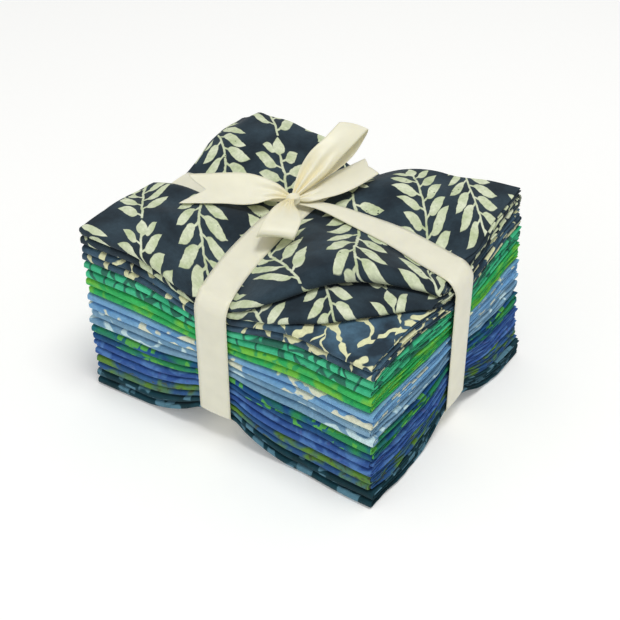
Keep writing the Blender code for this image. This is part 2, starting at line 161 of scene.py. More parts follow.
# The swells of the top quarter, in the order of Swell's values.
SWELLS = (
    (-57, -12, 5.2, 22, 7), (-50, 50, 3.2, 17, 20), (-60.5, 56, 2.0, 4, 14), (-29, 54, 2.4, 9, 12),
    (-22, 54, 4.2, 8, 12), (-72, 60, -2.4, 10, 14), (-72, 38, -2.2, 8, 16), (34, 54, -3.4, 16, 16),
    (36, -26, 1.6, 22, 10, 35), (-30, -22, 0.8, 18, 4, 35), (-24, -34, -0.8, 16, 4, 55),
    (-48, -34, 0.7, 15, 5, 20), (14, -16, 0.9, 15, 3.6, -42), (22, -9, -0.8, 16, 3.4, -22),
    (44, -6, 0.6, 14, 3.6, -8), (-34, 28, 0.8, 16, 4, -30), (-24, 36, -0.7, 14, 4, -60),
    (8, 30, 0.9, 16, 4, 62), (26, 26, -0.8, 18, 4, 30), (52, 26, 0.8, 14, 5, 15), (50, 42, -0.9, 18, 6, -20),
)


@dataclass(frozen=True)
class StackShape:
    """The tied stack's form: where each layer lies, and how the ribbon draws the cloth in."""

    half_x: float = 69.875
    half_y: float = 57.125
    fold_y: float = 55.125
    quarters: int = 10
    panels: int = 4
    layers: int = 4
    band_a_x: float = -6.8
    band_b_y: float = 3.2
    band_half: float = 7.75
    pinch_power: float = 1.6
    top_spread: float = 31.0
    base_spreads: Station = (29.0, 22.0)
    sink: float = 6.0
    sink_more_a: float = 5.4
    sink_more_left: float = 3.6
    sink_more_right: float = 1.6
    rise: float = 4.0
    rise_more_a: float = 8.0
    rise_more_b: float = 4.6
    corners: tuple[float, float, float, float] = (81.4, 77.4, 80.0, 84.5)
    puffs: tuple[float, float, float, float] = (1.5, 2.0, 5.5, 2.0)
    bank: float = 5.0
    soft: float = 6.0
    band_a_path: tuple[Station, ...] = (
        (-57.0, -6.6), (-40.0, -9.4), (-16.0, -10.6), (8.0, -10.5), (30.0, -8.6), (57.0, -5.2),
    )
    band_b_path: tuple[Station, ...] = (
        (-70.0, 6.6), (-40.0, 7.0), (-10.5, 8.4), (4.0, 12.2), (18.0, 13.8), (38.0, 12.0), (54.0, 7.8),
        (70.0, 3.9),
    )
    swells: tuple[Swell, ...] = tuple(Swell(*row) for row in SWELLS)

    def pinch(self, distance: Array, spread: float) -> Array:
        """How strongly a band draws the cloth in: 1 under it, and 0 past its spread."""
        outside = np.maximum(np.abs(distance) - self.band_half, 0.0)
        return np.clip(1 - outside / spread, 0.0, 1.0) ** self.pinch_power

    def pull(self, x: Array, y: Array, deep_a: Array, deep_b: Array, spreads: Station) -> Array:
        """The stronger of the two bands' pulls on the cloth, rounded over where they meet.

        Args:
            x: Places along the stack's long side.
            y: Places along its short side.
            deep_a: How far the band round the short way moves the cloth.
            deep_b: How far the band round the long way moves it.
            spreads: How far to the side of each band the cloth still moves.

        Returns:
            The stronger of the two pulls.
        """
        pull_a = deep_a * self.pinch(x - self.band_a_x, spreads[0])
        pull_b = deep_b * self.pinch(y - self.band_b_y, spreads[1])
        return (np.abs(pull_a) ** 8 + np.abs(pull_b) ** 8) ** 0.125

    @staticmethod
    def blend(corners: tuple[float, ...], side: Array, far: Array) -> Array:
        """Mixes the values at the left front, left back, right front and right back corner.

        Args:
            corners: The values at the left front, left back, right front and right back.
            side: 0 at the left and 1 at the right.
            far: 0 at the front and 1 at the back.

        Returns:
            The mixed values.
        """
        left_front, left_back, right_front, right_back = corners
        front = left_front * (1 - side) + right_front * side
        back = left_back * (1 - side) + right_back * side
        return front * (1 - far) + back * far

    def base(self, x: Array, y: Array) -> Array:
        """The underside: flat on four lobes and arched up along the two bands.

        Args:
            x: Places along the stack's long side.
            y: Places along its short side.

        Returns:
            Heights in millimetres.
        """
        rise_a = self.rise + self.rise_more_a * (y / self.half_y) ** 2
        rise_b = self.rise + self.rise_more_b * (x / self.half_x) ** 2
        return self.pull(x, y, rise_a, rise_b, self.base_spreads)

    def crown(self, x: Array, y: Array) -> Array:
        """The top as the bands draw it down, before the top quarter puffs up.

        Args:
            x: Places along the stack's long side.
            y: Places along its short side.

        Returns:
            Heights in millimetres.
        """
        flat = self.blend(self.corners, (x / self.half_x + 1) / 2, (y / self.half_y + 1) / 2)
        more_b = np.where(x < 0, self.sink_more_left, self.sink_more_right)
        sink_a = self.sink + self.sink_more_a * (y / self.half_y) ** 2
        sink_b = self.sink + more_b * (x / self.half_x) ** 2
        return flat - self.pull(x, y, sink_a, sink_b, (self.top_spread, self.top_spread))

    def puff(self, x: Array, y: Array) -> Array:
        """How much the top quarter swells between the bands.

        Args:
            x: Places along the stack's long side.
            y: Places along its short side.

        Returns:
            Heights in millimetres.
        """
        off_x, off_y = x - self.band_a_x, y - self.band_b_y
        side, far = smooth(-6.0, 6.0, off_x), smooth(-6.0, 6.0, off_y)
        free_a = 1 - self.pinch(off_x, self.top_spread)
        free_b = 1 - self.pinch(off_y, self.top_spread)
        edge = np.maximum(np.abs(x) / self.half_x, np.abs(y) / self.half_y)
        lobes = self.blend(self.puffs, side, far) * free_a * free_b * (1 - 0.5 * edge**6)
        clear_a = smooth(0.0, self.bank, np.abs(off_x) - self.band_half)
        clear_b = smooth(0.0, self.bank, np.abs(off_y) - self.band_half)
        return lobes + clear_a * clear_b * sum(swell.height(x, y) for swell in self.swells)

    def level(self, x: Array, y: Array, share: Array | float) -> Array:
        """The height of a layer.

        Args:
            x: Place along the stack's long side.
            y: Place along its short side.
            share: 0 at the base and 1 at the top of the stack.

        Returns:
            Height in millimetres above the surface.
        """
        base = self.base(x, y)
        below = 1 - 1 / self.quarters
        free = np.clip((np.asarray(share) - below) / (1 - below), 0.0, 1.0)
        return base + (self.crown(x, y) - base) * share + self.puff(x, y) * free

    def place(self, x: Array, y: Array) -> Pair:
        """Moves a place with the bands, which bow aside where they cross.

        Args:
            x: Places along the stack's long side.
            y: Places along its short side.

        Returns:
            The moved places along both sides.
        """
        off_a = np.maximum(np.abs(x - self.band_a_x) - self.band_half, 0.0)
        off_b = np.maximum(np.abs(y - self.band_b_y) - self.band_half, 0.0)
        room_x = self.half_x - self.band_half - abs(self.band_a_x)
        room_y = self.half_y - self.band_half - abs(self.band_b_y)
        follow_a = np.clip(1 - off_a / room_x, 0.0, 1.0)
        follow_b = np.clip(1 - off_b / room_y, 0.0, 1.0)
        moved_x = x + (curve(self.band_a_path, y) - self.band_a_x) * follow_a
        moved_y = y + (curve(self.band_b_path, x) - self.band_b_y) * follow_b
        return moved_x, moved_y


def grid_object(name: str, points: Array, uv: Array, closed: bool = False) -> Piece:
    """Makes a sheet from a grid of points.

    Args:
        name: The piece's name.
        points: Rows by columns by three, in millimetres.
        uv: Rows by columns by two, in metres along the cloth.
        closed: Whether the last row joins the first.

    Returns:
        The new object, smooth shaded, at the origin.
    """
    rows, cols = points.shape[:2]
    moved = (points - np.array([ORIGIN_X, 0, 0])) * MM
    steps = rows if closed else rows - 1
    i, j = np.meshgrid(np.arange(steps), np.arange(cols - 1), indexing="ij")
    below = (i + 1) % rows
    corners = np.stack([i * cols + j, below * cols + j, below * cols + j + 1, i * cols + j + 1], -1)
    mesh = bpy.data.meshes.new(name)
    mesh.from_pydata(moved.reshape(-1, 3).tolist(), [], corners.reshape(-1, 4).tolist())
    layer = mesh.uv_layers.new(name=UV_NAME)
    corner_uv = np.stack([uv[i, j], uv[i + 1, j], uv[i + 1, j + 1], uv[i, j + 1]], 2)
    layer.data.foreach_set("uv", corner_uv.reshape(-1).astype(np.float32))
    mesh.polygons.foreach_set("use_smooth", [True] * len(mesh.polygons))
    piece = bpy.data.objects.new(name, mesh)
    bpy.context.scene.collection.objects.link(piece)
    return piece


@dataclass(frozen=True)
class QuarterForm:
    """One folded quarter: its dye, its place from the bottom, how far its edges stand out past the
    footprint, and how finely its sheet is made."""

    dye: str
    index: int
    upper_fold: float
    lower_fold: float
    back: float
    left: float
    right: float
    across: int = 40
    along: int = 22
    top_along: int = 22

    @property
    def node(self) -> str:
        """The part's node, which is numbered from the top down."""
        return f"quarter_{10 - self.index:02d}_{self.dye}"


@dataclass
class FoldedQuarter:
    """A sheet folded to four layers along X, and those back and forth to four panels along Y."""

    shape: StackShape
    form: QuarterForm
    squeeze: float = 0.9
    fold_reach: float = 2.3
    end_reach: float = 0.6
    fold_steps: int = 9
    end_wave: float = 24.0
    end_uneven: float = 0.6
    end_step: float = 0.75
    flare_long: float = 34.0
    corner_long: float = 40.0
    end_long: float = 14.0
    beside: float = 8.0
    corner_in: float = 3.6
    corner_out: float = 2.3
    corner_from: float = 3.0
    crowd_columns: float = 0.12
    crowd_rows: float = 0.11
    cut_uneven: float = 0.5
    cut_wave: float = 23.0
    boxy: float = 0.62
    loose_round: float = 0.3
    loose_drawn: Station = (1.0, 14.0)
    back_reach: float = 0.25
    back_uneven: float = 0.3
    back_wave: float = 30.0
    front_uneven: float = 0.35
    front_wave: float = 34.0
    pressed: float = 0.7
    tucked: float = 0.22
    droop: float = 0.3
    lower_droop: float = 0.4
    split_x: Station = (8.0, 30.0)
    split_y: Station = (-4.0, -24.0)
    split_slant: float = 0.35
    split_middle: float = 40.0
    end_flare: tuple[Station, ...] = (
        (-55.0, 0.25), (-40.0, 0.45), (-26.0, 0.3), (-10.0, 0.1), (3.0, 0.02), (18.0, 0.25), (33.0, 0.75),
        (55.0, 1.0),
    )
    drawn_upper: tuple[Station, ...] = (
        (-70.0, 0.0), (1.0, 0.0), (8.0, 0.4), (15.0, 3.2), (22.0, 10.3), (30.0, 19.3), (39.0, 27.6),
        (48.0, 34.6), (58.0, 41.4), (66.0, 46.0), (70.0, 47.5),
    )
    drawn_lower: tuple[Station, ...] = (
        (-70.0, 0.0), (9.0, 0.0), (18.0, -0.6), (24.0, 0.2), (31.0, 3.6), (41.5, 11.4), (51.0, 20.0),
        (59.0, 28.0), (66.0, 37.5), (70.0, 42.0),
    )
    roll: float = 2.6
    split: float = 0.62

    @property
    def is_top(self) -> bool:
        """Whether this is the top quarter, whose folds are drawn back."""
        return self.form.index == self.shape.quarters - 1

    def drawn(self, x: Array) -> Pair:
        """How far the upper and the lower fold are drawn back from the front, at places along X.

        Args:
            x: Places along the stack's long side.

        Returns:
            Millimetres for the upper and for the lower fold.
        """
        if not self.is_top:
            return np.zeros_like(x), np.zeros_like(x)
        return curve(self.drawn_upper, x), curve(self.drawn_lower, x)

    def columns(self) -> dict[str, Array]:
        """The sheet's columns: four layers, joined by turns at alternate ends.

        Returns:
            For each column its layer, its place along X, how far it turns past an end, and its U.
        """
        half = self.shape.half_x
        run = np.linspace(-1, 1, self.form.across)
        run = (run + self.crowd_columns * np.sin(run * math.pi)) * (half - self.end_reach)
        turn = np.radians([30.0, 90.0, 150.0])
        layer, x, past = [], [], []
        for a in range(self.shape.layers):
            way = 1 if a % 2 == 0 else -1
            layer += [a] * len(run)
            x += list(run * way)
            past += [0.0] * len(run)
            if a < self.shape.layers - 1:
                layer += list(a + (1 - np.cos(turn)) / 2)
                x += [way * (half - self.end_reach)] * len(turn)
                past += list(way * np.sin(turn))
        found = {"layer": np.array(layer), "x": np.array(x), "past": np.array(past)}
        steps = np.abs(np.diff(found["x"])) + np.abs(np.diff(found["past"])) * self.end_reach
        found["u"] = np.concatenate([[0.0], np.cumsum(steps)])
        return found

    def panel_share(self, panel: int, layer: Array) -> Array:
        """The share of a layer in a panel, whose order turns over at every fold.

        Args:
            panel: The panel, counted from the bottom.
            layer: The layers to read.

        Returns:
            Shares of the stack's height.
        """
        panels = self.shape.quarters * self.shape.panels
        middle = (self.form.index * self.shape.panels + panel + 0.5) / panels
        over = 1 if panel % 2 == 1 else -1
        offset = (self.shape.layers - 1) / 2 - layer
        return middle + over * offset * (self.squeeze / (panels * self.shape.layers))

    def edge_y(self, panel: int, start: bool, x: Array) -> Array:
        """Where a panel starts or ends along Y.

        Args:
            panel: The panel, counted from the bottom.
            start: Whether its start is read, and not its end.
            x: Places along the stack's long side.

        Returns:
            Places along Y.
        """
        upper, lower = self.drawn(x)
        uneven = ripple(900 + self.form.index * 7 + panel, x, 0.0, self.cut_wave)
        cut = self.shape.half_y + self.form.back + self.cut_uneven * uneven
        front_upper = -self.shape.fold_y + upper
        front_lower = -self.shape.fold_y + lower
        back = np.full_like(x, self.shape.fold_y)
        ends = {3: (cut, front_upper), 2: (front_upper, back), 1: (back, front_lower), 0: (front_lower, cut)}
        return ends[panel][0 if start else 1]

    def fold_profile(self, angle: float, loose: Array) -> Pair:
        """A point's reach and height at an angle round a fold, which is boxy unless it is loose."""
        power = self.boxy + self.loose_round * loose
        return math.sin(angle) ** power, math.copysign(1, math.cos(angle)) * abs(math.cos(angle)) ** power

    def fold_row(self, upper: int, angle: float, cols: Mapping[str, Array]) -> Pair:
        """Places along Y and shares of one row round a fold.

        Args:
            upper: The panel above the fold.
            angle: How far round the fold the row is, in radians.
            cols: The sheet's columns.

        Returns:
            Places along Y, and shares of the stack's height.
        """
        x, layer = cols["x"], cols["layer"]
        drawn = self.drawn(x)[0 if upper == 3 else 1]
        loose = smooth(*self.loose_drawn, drawn)
        reach, height = self.fold_profile(angle, loose)
        top = self.panel_share(upper, layer)
        low = self.panel_share(upper - 1, layer)
        line = self.edge_y(upper, False, x)
        seed = self.form.index * 10 + upper
        if upper == 2:
            deep = self.fold_reach * (self.back_reach + self.back_reach * layer)
            deep = deep + self.back_uneven * ripple(seed, x, 0.0, self.back_wave)
            return line + deep * reach, (top + low) / 2 + (top - low) / 2 * height
        extra = self.form.upper_fold if upper == 3 else self.form.lower_fold
        calm = 1 - self.shape.pinch(x - self.shape.band_a_x, 10.0)
        uneven = self.front_uneven * ripple(seed, x, 0.0, self.front_wave) * calm
        outer = self.fold_reach - self.pressed * (1 - calm) + extra * self.pressed * calm + uneven
        deep = (outer + self.roll * loose) * (1 - self.tucked * layer)
        droop = self.droop * loose * reach * (1 if upper == 3 else self.lower_droop)
        return line - deep * reach, (top + low) / 2 + (top - low) / 2 * (height - droop)

    def row(self, y: Array, share: Array, cols: Mapping[str, Array], run: float) -> Array:
        """Points of one row, from its places along Y, its shares and its place along the cloth.

        Args:
            y: Places along Y.
            share: Shares of the stack's height.
            cols: The sheet's columns.
            run: The row's place along the cloth.

        Returns:
            The row's points in millimetres.
        """
        shape, form = self.shape, self.form
        x = cols["x"]
        half = shape.half_x - self.end_reach
        if self.is_top:
            # Where the folds are drawn back, the upper one takes more of the quarter's height.
            below = 1 - 1 / shape.quarters
            t = np.clip((share - below) / (1 - below), 0.0, 1.0)
            slanted = y - self.split_slant * (x - self.split_middle)
            zone = self.split * smooth(*self.split_x, x) * smooth(*self.split_y, slanted)
            share = below + (1 - below) * (t - zone * t * (1 - t))
        high = shape.level(x, np.clip(y, -shape.half_y, shape.half_y), share)
        px, py = shape.place(x, y)
        flare = form.right * smooth(half - self.flare_long, half, x)
        corner = smooth(half - self.corner_long, half, x) * smooth(self.corner_from, -shape.half_y, y)
        right = flare * curve(self.end_flare, y) - self.corner_in * corner
        py = py - self.corner_out * corner
        flare = form.left * smooth(half - self.flare_long, half, -x)
        left = flare * curve(self.end_flare, -np.abs(y))
        near_end = smooth(half - self.end_long, half, np.abs(x))
        pair = np.floor((cols["layer"] + (x < 0)) / 2)
        uneven = sum((pair == n) * ripple(form.index * 31 + n, run, 0.0, self.end_wave) for n in range(3))
        jog = np.random.RandomState(form.index * 17 + int(run / (2 * shape.half_y + 7))).uniform(-1, 1, 3)
        uneven = self.end_uneven * uneven + self.end_step * jog[pair.astype(int) % 3]
        px = px + right - left + np.sign(x) * near_end * uneven + cols["past"] * self.end_reach
        # The ribbon rounds the stack's upper edges where it bends over them.
        top = shape.level(x, np.clip(y, -shape.half_y, shape.half_y), 1.0)
        near_top = np.clip(shape.soft - (top - high), 0.0, shape.soft)
        pull = shape.soft - np.sqrt(shape.soft**2 - near_top**2)
        near_fold = smooth(self.end_long - shape.fold_y, -shape.fold_y, y)
        px = px - pull * smooth(half - self.end_long, half, x) * shape.pinch(y - shape.band_b_y, self.beside)
        py = py + pull * near_fold * shape.pinch(x - shape.band_a_x, self.beside)
        return np.stack([px, py, high], -1)

    def points(self) -> Pair:
        """The whole sheet's points, and its UVs in metres.

        Returns:
            Rows by columns by three, and rows by columns by two.
        """
        cols = self.columns()
        rows = []
        run, wide, bend = 0.0, 2 * self.shape.half_y, self.fold_reach * 0.8
        angles = np.radians(np.linspace(0, 180, self.fold_steps + 2))[1:-1]
        for panel in (3, 2, 1, 0):
            count = self.form.top_along if panel == 3 else self.form.along
            t = np.linspace(0, 1, count)
            t = t - self.crowd_rows * np.sin(t * math.tau)
            start, end = self.edge_y(panel, True, cols["x"]), self.edge_y(panel, False, cols["x"])
            share = self.panel_share(panel, cols["layer"])
            for s in t:
                rows.append(self.row(start + (end - start) * s, share, cols, run + s * wide))
            run += wide
            if panel > 0:
                for angle in angles:
                    y, fold_share = self.fold_row(panel, angle, cols)
                    rows.append(self.row(y, fold_share, cols, run + angle * bend))
                run += math.pi * bend
        grid = np.stack(rows)
        steps = np.linalg.norm(np.diff(grid[..., 1:], axis=0), axis=-1)
        v = np.concatenate([np.zeros((1, steps.shape[1])), np.cumsum(steps, axis=0)])
        # The second panel is out of sight, and takes up what the folds' slant adds to the print.
        first = self.form.top_along + self.fold_steps
        last = first + self.form.along + self.fold_steps
        miss = v[last].max() - v[last]
        v[first:last] += np.linspace(0, 1, last - first)[:, None] ** 3 * miss
        v[last:] += miss
        uv = np.stack([np.broadcast_to(cols["u"], v.shape), v], -1) * MM
        return grid, uv

    def build(self) -> Piece:
        """Makes the sheet's object."""
        points, uv = self.points()
        return grid_object("cloth_" + self.form.node, points, uv)


@dataclass
class RibbonStrip:
    """A free length of ribbon through rows of edge points, gathered into pleats at the knot."""

    name: str
    rows: tuple[tuple[Point, Point], ...]
    crown: float = 0.8
    crown_lost: float = 0.6
    pleat_deep: float = 0.9
    pleat_wide: float = 7.0
    pleats: float = 2.5
    gather_start: float = 0.0
    gather_end: float = 0.0
    notch: float = 0.0
    steps: int = 10
    across: int = 17

    @property
    def flat_length(self) -> float:
        """The length that the strip was cut to, along its middle."""
        middles = np.array(self.rows).mean(axis=1)
        return float(np.linalg.norm(np.diff(middles, axis=0), axis=1).sum())

    @property
    def flat_area(self) -> float:
        """The strip's flat area in square metres, without the V cut from its end."""
        return RIBBON_WIDE * self.flat_length * (1 - self.notch / 2) * MM * MM

    def line(self, points: Array, at: Array) -> Array:
        """A smooth curve through points, read at places counted in points.

        Args:
            points: The points in order.
            at: The places to read.

        Returns:
            The curve's points.
        """
        n = len(points)
        i = np.clip(np.floor(at).astype(int), 0, n - 2)
        t = (at - i)[..., None]
        before = points[np.maximum(i - 1, 0)]
        here, there = points[i], points[i + 1]
        after = points[np.minimum(i + 2, n - 1)]
        bend = 2 * here + (there - before) * t
        bend = bend + (2 * before - 5 * here + 4 * there - after) * t**2
        return 0.5 * (bend + (3 * here - before - 3 * there + after) * t**3)

    def painted_bounce_mask(self) -> Array:
        """How strongly painted warm light, standing in for light that bounces between the pleats at the
        knot, tints each point.

        Returns:
            Values of 0 to 1 by rows and columns.
        """
        share = np.linspace(0, 1, (len(self.rows) - 1) * self.steps + 1)[:, None]
        v = np.linspace(0, 1, self.across)[None, :]
        near = smooth(0.3, 0.0, share)
        if self.gather_end:
            near = near + smooth(0.7, 1.0, share)
        return near * (0.6 - 0.4 * np.cos(v * math.tau * self.pleats))

    def points(self) -> Pair:
        """The strip's points and UVs.

        Returns:
            The points in millimetres and the UVs in metres, by rows and columns.
        """
        lefts, rights = np.array(self.rows).swapaxes(0, 1)
        last = len(self.rows) - 1
        s = np.linspace(0, 1, last * self.steps + 1)[:, None]
        v = np.linspace(0, 1, self.across)[None, :]
        cut = 1 - self.notch * (1 - np.abs(2 * v - 1))
        at = s * cut * last
        left, right = self.line(lefts, at), self.line(rights, at)
        side = right - left
        step = 1e-3 * last
        ahead = np.minimum(at + step, last)
        behind = np.maximum(at - step, 0)
        middle = (self.line(lefts, ahead) + self.line(rights, ahead)) / 2
        run = middle - (self.line(lefts, behind) + self.line(rights, behind)) / 2
        up = np.cross(side, run)
        up /= np.maximum(np.linalg.norm(up, axis=-1, keepdims=True), 1e-9)
        share = at / last
        gather = 1 - smooth(0, self.gather_start, share)
        if self.gather_end:
            gather = gather + smooth(1 - self.gather_end, 1, share)
        bow = self.crown * (1 - (2 * v - 1) ** 2)
        deep = self.pleat_deep * gather * np.minimum(1, np.linalg.norm(side, axis=-1) / self.pleat_wide)
        pleat = deep * np.cos(v * math.tau * self.pleats)
        centre = left + side * v[..., None]
        points = centre + up * (bow * (1 - self.crown_lost * gather) + pleat)[..., None]
        uv = np.stack([v * RIBBON_WIDE + 0 * s, share * self.flat_length], -1) * MM
        return points, uv

    def build(self) -> Piece:
        """Makes the strip and gives it its thickness.

        Returns:
            The strip's object.
        """
        points, uv = self.points()
        piece = grid_object(self.name, points, uv)
        # Stores on each point how much painted warm bounce light the satin lays there.
        layer = piece.data.attributes.new(PAINTED_BOUNCE_NAME, "FLOAT", "POINT")
        layer.data.foreach_set("value", self.painted_bounce_mask().reshape(-1).astype(np.float32))
        thicken(piece)
        return piece


def thicken(piece: Piece) -> None:
    """Gives a ribbon its thickness, half on each side.

    Args:
        piece: The ribbon's sheet.
    """
    wall = piece.modifiers.new("thickness", "SOLIDIFY")
    wall.thickness = RIBBON_THICK * MM
    wall.offset = 0.0
    bpy.ops.object.select_all(action="DESELECT")
    piece.select_set(True)
    bpy.context.view_layer.objects.active = piece
    bpy.ops.object.modifier_apply(modifier=wall.name)
    piece.select_set(False)


class Way(Enum):
    """Which side of the stack a band goes round."""

    SHORT = "y"
    LONG = "x"


@dataclass
class RibbonBand:
    """A ribbon round the whole stack, over its top, its two sides and its underside."""

    name: str
    node: str
    shape: StackShape
    way: Way
    low_end: float
    high_end: float
    lift: float = 0.1
    over: float = 0.0
    round_off: float = 2.2
    round_low: float = 2.2
    round_high: float = 2.2
    widths: tuple[Station, ...] = ((-70.0, RIBBON_WIDE), (70.0, RIBBON_WIDE))
    across: int = 9
    crossing: Station = (-7.0, 34.0)
    crown: float = 0.35
    run_steps: int = 46
    corner_steps: int = 9
    upright_steps: int = 14
    under_most: float = 0.7
    upper_from: Station = (25.0, 60.0)

    def on_stack(self, along: Array, side: Array) -> Pair:
        """The stack's own places for places along and across the band.

        Args:
            along: Places along the band.
            side: Places across it.

        Returns:
            Places along the stack's long and short side.
        """
        if self.way is Way.SHORT:
            return self.shape.band_a_x + side, along
        return along, self.shape.band_b_y + side

    def surface(self, along: Array, side: Array, share: float) -> Array:
        """The stack's height under the band, at a place along it and to its side."""
        return self.shape.level(*self.on_stack(along, side), share)

    def corner(self, at: float, side: Array, outward: int, upward: int, radius: float) -> tuple[list, list]:
        """Rounds a corner from a flat run into an upright one.

        Args:
            at: Where the upright run stands.
            side: The places across the band.
            outward: 1 at the band's high end and -1 at its low end.
            upward: 1 over the stack and -1 under it.
            radius: The corner's radius.

        Returns:
            Places along the band and heights, from the flat run to the upright one.
        """
        alongs, highs = [], []
        for angle in np.radians(np.linspace(90, 0, self.corner_steps)):
            along = np.full_like(side, at - outward * radius * (1 - math.cos(angle)))
            flat = self.surface(along, side, (1 + upward) / 2) + upward * self.lift
            alongs.append(along)
            highs.append(flat - upward * radius * (1 - math.sin(angle)))
        return alongs, highs

    def ring(self, side: Array) -> Pair:
        """The band's path as places along it and heights, for each place across it.

        Args:
            side: Places across the band.

        Returns:
            Places along the band, and heights, by rows and columns.
        """
        low, high = self.low_end, self.high_end
        ones = np.ones_like(side)
        alongs, highs = [], []
        for way in (1, -1):
            ends = (self.round_low, self.round_high) if way == 1 else (self.round_off, self.round_off)
            runs = np.linspace(low + ends[0], high - ends[1], self.run_steps)[::way]
            near = smooth(self.crossing[1], 0, np.abs(runs - self.crossing[0]))
            over = self.over if way == 1 else min(self.over, self.under_most)
            for a, n in zip(runs, near):
                alongs.append(a * ones)
                highs.append(self.surface(a * ones, side, (1 + way) / 2) + way * (self.lift + over * n))
            at = high if way == 1 else low
            radii = (self.round_high, self.round_off) if way == 1 else (self.round_off, self.round_low)
            leave = self.corner(at, side, way, way, radii[0])
            join = self.corner(at, side, way, -way, radii[1])
            between = np.linspace(0, 1, self.upright_steps)[1:-1]
            upright = [leave[1][-1] * (1 - t) + join[1][-1] * t for t in between]
            alongs += leave[0] + [at * ones] * len(upright) + join[0][::-1]
            highs += leave[1] + upright + join[1][::-1]
        return np.stack(alongs), np.stack(highs)

    def build(self) -> Piece:
        """Makes the band as a closed ring and gives it its thickness.

        Returns:
            The band's object.
        """
        share = np.linspace(-0.5, 0.5, self.across)
        alongs, highs = self.ring(share * RIBBON_WIDE)
        upper = smooth(*self.upper_from, highs)
        drawn = curve(self.widths, alongs) * upper + RIBBON_WIDE * (1 - upper)
        side = share[None, :] * drawn
        bow = self.crown * (1 - (2 * share) ** 2)[None, :]
        points = np.stack([*self.shape.place(*self.on_stack(alongs, side)), highs], -1)
        middle = points[:, self.across // 2]
        run = np.roll(middle, -1, 0) - np.roll(middle, 1, 0)
        out = np.cross(points[:, -1] - points[:, 0], run)
        out /= np.linalg.norm(out, axis=1, keepdims=True)
        if self.way is Way.LONG:
            out = -out
        points += out[:, None, :] * bow[..., None]
        lengths = np.linalg.norm(np.roll(middle, -1, 0) - middle, axis=1)
        v = np.concatenate([[0.0], np.cumsum(lengths)])
        uv = np.stack(np.meshgrid((share + 0.5) * RIBBON_WIDE, v), -1) * MM
        piece = grid_object(self.name, points, uv, closed=True)
        self.length = float(v[-1])
        thicken(piece)
        return piece


@dataclass
class Knot:
    """The pulled knot: a short turn of ribbon, gathered into ridges, round the bow's middle."""

    at: Point = (-10.5, 8.0, 79.3)
    half: Point = (3.1, 2.7, 2.5)
    ridges: int = 5
    ridge_high: float = 0.10
    ridge_twist: float = 2.2
    blunt: float = 2.6
    turned: float = 28.0

    def build(self) -> Piece:
        """Makes the knot from a ball whose surface is drawn into ridges across it.

        Returns:
            The knot's object.
        """
        bpy.ops.mesh.primitive_uv_sphere_add(segments=48, ring_count=24, radius=1.0)
        knot = bpy.context.object
        knot.name = "knot_satin"
        turn = Matrix.Rotation(math.radians(self.turned), 3, "Z")
        for vert in knot.data.vertices:
            x, y, z = vert.co
            fullness = (1 - min(abs(x), 1.0) ** self.blunt) ** 0.5
            round_it = math.hypot(y, z) or 1e-6
            wave = math.atan2(z, y) * self.ridges + self.ridge_twist * x
            ridge = 1 + self.ridge_high * math.cos(wave)
            local = Vector((x * self.half[0], y / round_it * fullness * ridge * self.half[1],
                            z / round_it * fullness * ridge * self.half[2]))
            moved = turn @ local + Vector(self.at)
            vert.co = Vector((moved.x - ORIGIN_X, moved.y, moved.z)) * MM
        knot.data.shade_smooth()
        knot.data.uv_layers[0].name = UV_NAME
        return knot


class Sketch:
    """A material being drawn with nodes."""

    def __init__(self, name: str) -> None:
        """Starts an empty material.

        Args:
            name: The material's name.
        """
        self.material = bpy.data.materials.new(name)
        self.material.use_nodes = True
        self.tree = self.material.node_tree
        self.shader = self.tree.nodes["Principled BSDF"]

    def connect(self, socket: bpy.types.NodeSocket, feed: Feed) -> None:
        """Gives an input its link, hex colour or value, and leaves it as it is for None.

        Args:
            socket: The input.
            feed: What it gets.
        """
        if isinstance(feed, bpy.types.Node):
            feed = next(output for output in feed.outputs if output.enabled)
        if isinstance(feed, bpy.types.NodeSocket):
            self.tree.links.new(feed, socket)
        elif feed is not None:
            socket.default_value = linear(feed) if isinstance(feed, str) else feed

    def add(self, kind: str, *feeds: Feed, **settings: object) -> bpy.types.Node:
        """Adds a node with its settings and links.

        Args:
            kind: The node's type without ShaderNode, and after a dot its operation or data type.
            *feeds: Nodes, sockets, colours or values for its inputs in order, or None to leave one.
            **settings: Properties of the node.

        Returns:
            The new node.
        """
        kind, _, choice = kind.partition(".")
        node = self.tree.nodes.new("ShaderNode" + kind)
        if choice:
            settings["operation" if hasattr(node, "operation") else "data_type"] = choice
        for name, value in settings.items():
            setattr(node, name, value)
        inputs = [socket for socket in node.inputs if socket.enabled]
        for socket, feed in zip(inputs, feeds):
            self.connect(socket, feed)
        return node

    def cloth_place(self) -> bpy.types.Node:
        """The place on the cloth in millimetres."""
        return self.add("VectorMath.SCALE", self.add("UVMap", uv_map=UV_NAME), 1 / MM)

    def surface(self, feeds: Mapping[str, Feed]) -> bpy.types.Material:
        """Feeds the shader's inputs by name.

        Args:
            feeds: A node, colour or value for each input.

        Returns:
            The finished material.
        """
        for name, feed in feeds.items():
            self.connect(self.shader.inputs[name], feed)
        return self.material


